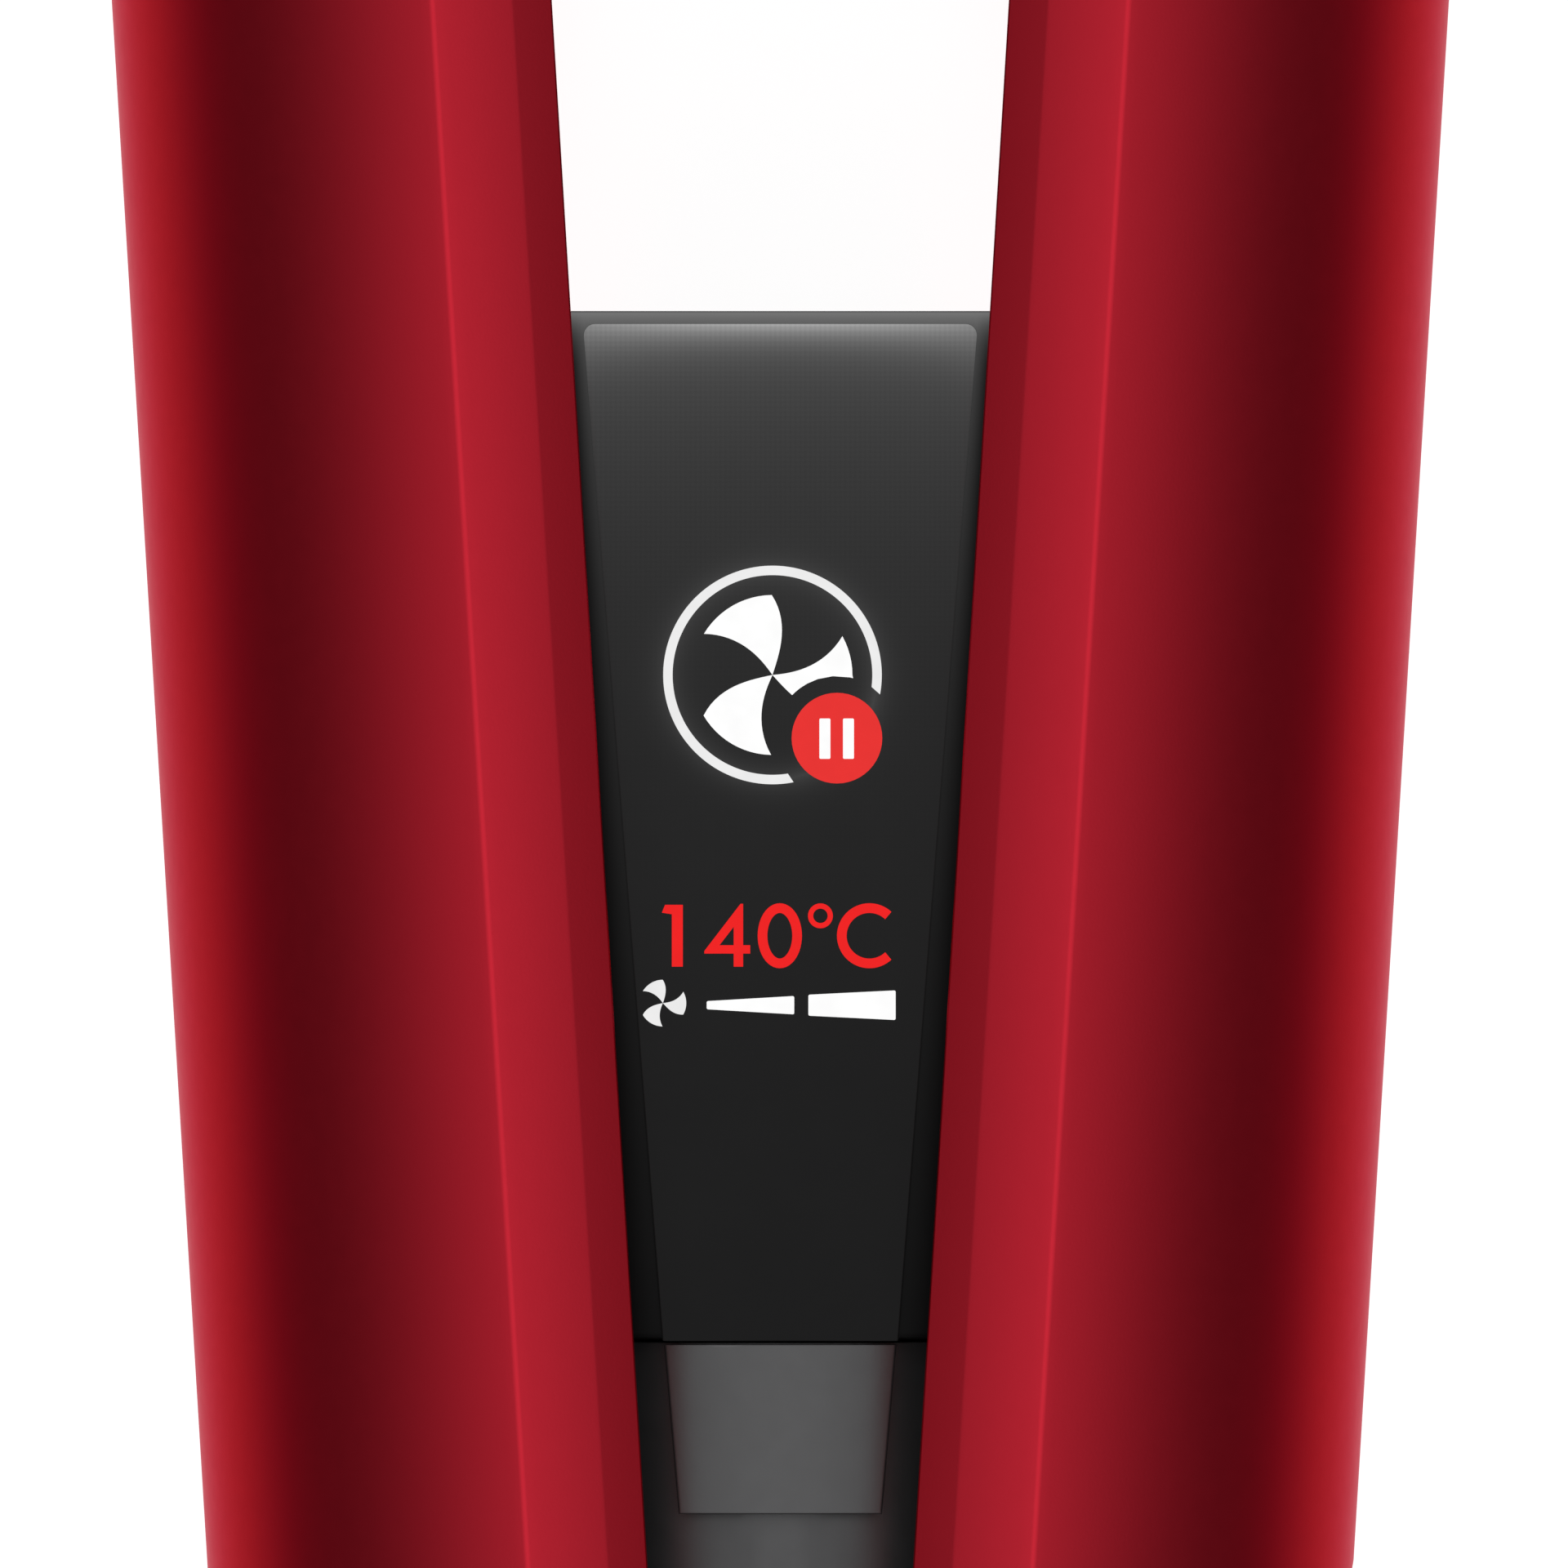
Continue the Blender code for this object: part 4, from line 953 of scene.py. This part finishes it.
def build_splitter():
    """The lower half of the display module, with its bore and a port to each arm."""
    low, high = local_box("air_splitter", NECK)
    body = new_object("splitter_duct", plate(housing_plan, low.z, high.z, 0.1, 1.6, 8), NECK)
    cut(body, box((-5, low.y - 2, -7), (5, high.y - 2.8, 6.5)), NECK)

    def port(inset):
        return rectangle((-5.3, low.y + 18.6), (5.3, low.y + 34.6), inset, 1.2)
    cut(body, plate(port, -12, 12), NECK @ JAW_PLANE)
    dress(body, BODY, "black_plastic", BLACK, "air_splitter")


# ---- neck ----


def ring_profile(outer, inner, start, end, rounding):
    return filleted([(outer, end, rounding), (outer, start, rounding),
                     (inner, start, 0.15), (inner, end, 0.15)])


def neck_sleeve():
    low, high = local_box("neck_sleeve", NECK)
    bore = high.x - 1.1
    profile = ring_profile(high.x, bore, low.y, SLEEVE_END, 0.06)
    sleeve = new_object("neck_tube", lathe(profile, 160), NECK)
    for side in (-1, 1):
        near, far = sorted((side * 3.0, side * 16.0))
        window = new_object("window", box((near, -10.5, -16), (far, 10.5, 16)), NECK)
        soften(window, 1.2, 5)
        near, far = sorted((side * 9.0, side * 16.0))
        cut_with(sleeve, window)
        cut(sleeve, box((near, 10.0, -4), (far, 16.0, 4)), NECK)
    travel = JOINTS["lock_slide"]["range_m"][1] / MM
    peg_half, peg_start, peg_end, room = 1.0, 39.6, 41.4, 0.3
    low_corner = (-peg_half - room, peg_start - travel - room, 11)
    return cut(sleeve, box(low_corner, (peg_half + room, peg_end + room, 16)), NECK)


SPRING_THICKNESS = 0.5


def lock_slider():
    """A thin tapered pad that follows the neck's curve, with softly rounded edges."""
    low, high = local_box("lock_slider", NECK)
    high.y = PAD_END
    radius, edge, steps = crest("lock_slider", NECK).z, 0.06, 44
    narrow, wide = 3.88, high.x + 0.13
    rings = []
    for row in range(steps + 1):
        y = low.y + (high.y - low.y) * (1 - math.cos(math.pi * row / steps)) / 2
        half = narrow + (wide - narrow) * (y - low.y) / (high.y - low.y)
        ring = []
        for column in range(steps + 1):
            x = -half * math.cos(math.pi * column / steps)
            margin = min(half - abs(x), y - low.y, high.y - y, edge)
            drop = edge - math.sqrt(max(0, edge ** 2 - (edge - margin) ** 2))
            ring.append((x, y, math.sqrt((radius - drop) ** 2 - x * x)))
        rings.append(ring)
    return thickened(new_object("lock_pad", loft(rings, closed=False), NECK), 0.3, -1)


def opening_spring():
    """The right leaf spring, from the collar to the arm's wall, and the two ends of its bend."""
    low, high = local_box("right_opening_spring", NECK)
    root_x, half = low.x + SPRING_THICKNESS / 2, high.z
    corners = [(root_x, low.y, 0), (root_x, low.y + 6.9, 2.0), (high.x - 0.4, high.y - 0.6, 0.6),
               (high.x - 0.2, high.y, 0)]
    turns = filleted(corners, closed=False)
    line = []
    for near, far in zip(turns, turns[1:]):
        pieces = max(1, round((far - near).length / 0.7))
        line += [near.lerp(far, step / pieces) for step in range(pieces)]
    line.append(turns[-1])
    leaf = loft([[(p.x, p.y, z) for p in line] for z in (-half, 0, half)], closed=False)
    spring = thickened(new_object("right_leaf_spring", leaf, NECK), SPRING_THICKNESS)
    return spring, (root_x, low.y + 4, 0), (high.x, high.y, 0)


def build_springs():
    spring, start, end = opening_spring()
    twin = left_twin(spring, "left_leaf_spring")
    for side, piece, mirror in (("right", spring, 1), ("left", twin, -1)):
        ends = [NECK @ Vector((mirror * x, y, z)) for x, y, z in (start, end)]
        dress(piece, (BODY, f"{side}_arm", *ends), "steel", STEEL, f"{side}_opening_spring")


def build_neck():
    build_springs()
    dress(neck_sleeve(), BODY, "neck_grey", GREY, "neck_sleeve")
    dress(lock_slider(), "lock_slider", "neck_grey", SLIDER_GREY, "lock_slider")


# ---- rear end ----


REAR_RADIUS = 19.4
POWER_LOW, POWER_HIGH = local_box("power_button", NECK)
POWER_Y = (POWER_LOW.y + POWER_HIGH.y) / 2


def trim_flats(obj, start_y, end_y):
    """Cuts the round end to the body's depth, front and back."""
    depth = SHELL_HIGH.z
    for low_z, high_z in ((depth, depth + 5), (-depth - 5, -depth)):
        cut(obj, box((-25, start_y, low_z), (25, end_y, high_z)), NECK)


def rear_housing():
    low, high = local_box("rear_housing", NECK)
    shoulder = low.y + 3.5
    corners = [(REAR_RADIUS, high.y, 0.7), (REAR_RADIUS, shoulder, 0.2), (17.2, shoulder, 0.1),
               (17.2, low.y, 0.3), (15.6, low.y, 0.2), (15.6, high.y - 2.4, 0.3), (9.8, high.y - 2.4, 0.2),
               (9.8, high.y, 0.4)]
    housing = new_object("rear_collar", lathe(filleted(corners), 192), NECK)
    trim_flats(housing, low.y - 1, high.y + 1)
    pocket = [(0, 17.2), (4.3, 17.2), (4.3, 18.75), (4.75, 19.3), (0, 19.3)]
    return cut(housing, lathe(pocket, 64, "Z"), NECK @ Matrix.Translation((0, POWER_Y, 0)))


def power_button():
    radius, top, foot = POWER_HIGH.x, POWER_HIGH.z, POWER_LOW.z
    profile = [(0, top - 0.2, 0), (2.6, top - 0.1, 2), (radius - 0.25, top, 0.15), (radius, top - 0.3, 0.1),
               (radius, foot, 0), (0, foot, 0)]
    bm = lathe(filleted(profile, closed=False), 72, "Z")
    return new_object("power_cap", bm, NECK @ Matrix.Translation((0, POWER_Y, 0)))


def power_mark():
    """The plain on-off sign: a broken ring and a bar."""
    ring = ribbon(bow((0, 0), 1.25, 125, 415), 0.28)
    bar = ribbon([(0, 0.35), (0, 1.75)], 0.28)
    space = NECK @ Matrix.Translation((0, POWER_Y, POWER_HIGH.z - 0.12))
    return thickened(new_object("power_mark", joined([ring, bar]), space), 0.06)


CAGE_SLOTS = 20
HOLE = 0.36


def filter_cage():
    low, high = local_box("filter_cage", NECK)
    corners = [(REAR_RADIUS, high.y, 0.3), (REAR_RADIUS, low.y, 1.6), (6.8, low.y, 0.4),
               (6.8, low.y + 1.8, 0.3), (17.6, low.y + 1.8, 0.6), (17.6, high.y, 0.2)]
    cage = new_object("cage", lathe(filleted(corners, steps=8), 200), NECK)
    trim_flats(cage, low.y - 1, high.y + 1)
    middle = (low.y + high.y) / 2

    def plan(inset):
        return rectangle((-1.1, middle - 15), (1.1, middle + 15), inset, 1.1)
    cutters = []
    for index in range(CAGE_SLOTS):
        turn = Matrix.Rotation(2 * math.pi * (index + 0.5) / CAGE_SLOTS, 4, "Y")
        cutters.append(turned_copy(plate(plan, 16.0, 21.0), turn @ OUTWARDS))
    return cut(cage, joined(cutters), NECK)


def filter_sleeve():
    """A perforated steel sleeve: rows of round holes, every other row set over by half a pitch."""
    low, high = local_box("filter_mesh", NECK)
    radius = high.x
    around, rows = 88, 30
    pitch_angle = 2 * math.pi / around
    pitch_y = (high.y - low.y) / rows
    bm = bmesh.new()

    def wrapped(angle, y, depth):
        return bm.verts.new(((radius - depth) * math.sin(angle), y, (radius - depth) * math.cos(angle)))
    for row in range(rows):
        centre_y = low.y + (row + 0.5) * pitch_y
        for column in range(around):
            centre = (column + 0.5 * (row % 2)) * pitch_angle
            rim, frame_ring = [], []
            for step in range(8):
                turn = 2 * math.pi * step / 8
                across, up = math.cos(turn) * pitch_angle, math.sin(turn) * pitch_y
                square = 0.5 / max(abs(math.cos(turn)), abs(math.sin(turn)))
                frame_ring.append(wrapped(centre + square * across, centre_y + square * up, 0))
                rim.append(wrapped(centre + HOLE * across, centre_y + HOLE * up, 0.06))
            for step in range(8):
                after = (step + 1) % 8
                bm.faces.new((frame_ring[step], frame_ring[after], rim[after], rim[step]))
    bmesh.ops.remove_doubles(bm, verts=bm.verts, dist=0.01)
    return thickened(new_object("filter_sleeve", bm, NECK), 0.3, -1)


def motor_can():
    """The motor's smooth can, seen while the filter is off."""
    low, high = local_box("motor_housing", NECK)
    profile = ring_profile(high.x, high.x - 0.9, low.y, high.y, 0.4)
    return new_object("motor_can", lathe(profile, 160), NECK)


def gland():
    """A ribbed rubber gland round the cord's way in."""
    low, high = local_box("cord_gland", NECK)
    bore, widest = 3.0, high.x
    steps = ((bore, 0, 0.1), (5.4, 0, 0.2), (widest, 0.8, 0.3), (widest, 2.4, 0.3), (5.3, 2.7, 0.15),
             (5.3, 3.1, 0.15), (5.7, 3.3, 0.15), (5.5, 4.0, 0.15), (4.9, 4.2, 0.1), (4.9, 4.5, 0.1))
    corners = [(radius, high.y - drop, rounding) for radius, drop, rounding in steps]
    corners += [(4.7, low.y, 0.25), (bore, low.y, 0.3)]
    return new_object("gland_ribbed", lathe(filleted(corners), 96), NECK)


def build_rear():
    dress(rear_housing(), BODY, "neck_grey", GREY, "rear_housing")
    dress(power_button(), "power_button", "black_plastic", BLACK, "power_button")
    dress(power_mark(), "power_button", "lcd", SIGN_GREY)
    dress(filter_cage(), "filter", "neck_grey", GREY, "filter_cage")
    dress(filter_sleeve(), "filter", "steel", STEEL, "filter_mesh")
    dress(motor_can(), BODY, "aluminium", ALUMINIUM, "motor_housing")
    dress(gland(), "cord_gland", "rubber", RUBBER, "cord_gland")


# ---- inner pieces ----


INNER_FINISHES = {"black_plastic": BLACK, "circuit_board": BOARD, "steel": STEEL, "aluminium": ALUMINIUM,
                  "rubber": RUBBER, "silicone": SILICONE, "mica": MICA, "lcd": BLACK,
                  "red_shell": RED, "neck_grey": GREY, "display_glass": BLACK}


def finish_inner_pieces():
    """Every CAD node takes the finish of its slot in the record."""
    slots = {part["node"]: part["material_slot"] for part in frame["record"]["subparts"]}
    for name, node in frame["nodes"].items():
        material = COPPER if name == "stator" else INNER_FINISHES[slots[name]]
        node.data.materials.clear()
        node.data.materials.append(material)


# ---- stage ----


VIEW_CENTRE = Vector((0.14, 63.75, 7.0))
VIEW_WIDTH = 60.0
LENS_LENGTH = 1500.0
SENSOR = 36.0
FLOOR_DROP = 0.0001
FLOOR_SEEN = 0.93
POOL_REACH = (0.004, 0.075)
POOL_LEVELS = (1.15, 0.07)
SKY_STOPS = ((0.0, 0.11), (0.3, 0.27), (0.55, 0.64), (0.8, 1.0), (0.9, 1.15), (1.0, 1.55))


def light_and_show(tree, light, seen, target):
    """Lights the object with one shader and shows the camera another."""
    choice = add(tree, "MixShader")
    for source, socket in zip((add(tree, "LightPath").outputs["Is Camera Ray"], light, seen), choice.inputs):
        tree.links.new(source, socket)
    tree.links.new(choice.outputs[0], target)


def build_floor():
    """A white light table. It looks even, and lights the object from below near the object only."""
    mesh = bpy.data.meshes.new("floor")
    bm = bmesh.new()
    bmesh.ops.create_circle(bm, cap_ends=True, segments=96, radius=30.0)
    bm.to_mesh(mesh)
    bm.free()
    floor = bpy.data.objects.new("floor", mesh)
    floor.location.z = -FLOOR_DROP
    bpy.context.scene.collection.objects.link(floor)
    material, tree, shader = new_material("light_table")
    tree.nodes.remove(shader)
    paper = add(tree, "BsdfDiffuse", Color=(0.3, 0.3, 0.3, 1))
    seen = add(tree, "Emission", Strength=FLOOR_SEEN)
    whole = add(tree, "AddShader")
    tree.links.new(paper.outputs[0], whole.inputs[0])
    tree.links.new(seen.outputs[0], whole.inputs[1])
    place = split(tree, add(tree, "TexCoord").outputs["Object"])
    past_hinge = maths(tree, "SUBTRACT", place[1], PIVOT.y)
    widening = maths(tree, "MULTIPLY", past_hinge, math.sin(OPEN_ANGLE))
    edge_x = maths(tree, "ADD", widening, SHELL_HIGH.x * MM)
    outside_x = maths(tree, "SUBTRACT", maths(tree, "ABSOLUTE", place[0]), edge_x)
    outside_y = maths(tree, "SUBTRACT", maths(tree, "ABSOLUTE", place[1]), cad_box[1].y)
    distance = maths(tree, "MAXIMUM", maths(tree, "MAXIMUM", outside_x, outside_y), 0.0)
    pool = spread(tree, distance, *POOL_LEVELS, *POOL_REACH, interpolation_type="SMOOTHSTEP")
    below = add(tree, "Emission")
    tree.links.new(pool, below.inputs["Strength"])
    surface = tree.nodes["Material Output"].inputs["Surface"]
    light_and_show(tree, below.outputs[0], whole.outputs[0], surface)
    material.cycles.emission_sampling = "NONE"
    mesh.materials.append(material)


def build_sky():
    """One broad softbox overhead that fades towards a dark horizon."""
    world = bpy.data.worlds.new("studio")
    world.use_nodes = True
    tree = world.node_tree
    background = tree.nodes["Background"]
    direction = split(tree, add(tree, "TexCoord").outputs["Generated"])
    ramp = add(tree, "ValToRGB")
    ramp.color_ramp.interpolation = "EASE"
    elements = ramp.color_ramp.elements
    while len(elements) < len(SKY_STOPS):
        elements.new(0.5)
    for element, (position, level) in zip(elements, SKY_STOPS):
        element.position = position
        element.color = (level, level, level, 1)
    tree.links.new(direction[2], ramp.inputs[0])
    plain = add(tree, "Background", Color=WHITE, Strength=1.0)
    tree.links.new(ramp.outputs["Color"], background.inputs["Color"])
    surface = tree.nodes["World Output"].inputs["Surface"]
    light_and_show(tree, background.outputs[0], plain.outputs[0], surface)
    bpy.context.scene.world = world


def build_camera():
    """Straight above the display, at a long focal length."""
    data = bpy.data.cameras.new("camera")
    data.sensor_width = SENSOR
    data.lens = LENS_LENGTH
    data.clip_end = 40.0
    camera = bpy.data.objects.new("camera", data)
    bpy.context.scene.collection.objects.link(camera)
    distance = LENS_LENGTH / SENSOR * VIEW_WIDTH * MM
    camera.location = NECK @ VIEW_CENTRE + Vector((0, 0, distance))
    bpy.context.scene.camera = camera
    bpy.context.scene.view_settings.view_transform = "Standard"


build_camera()
build_sky()
build_floor()
finish_inner_pieces()
build_arms()
build_display()
build_neck()
build_rear()
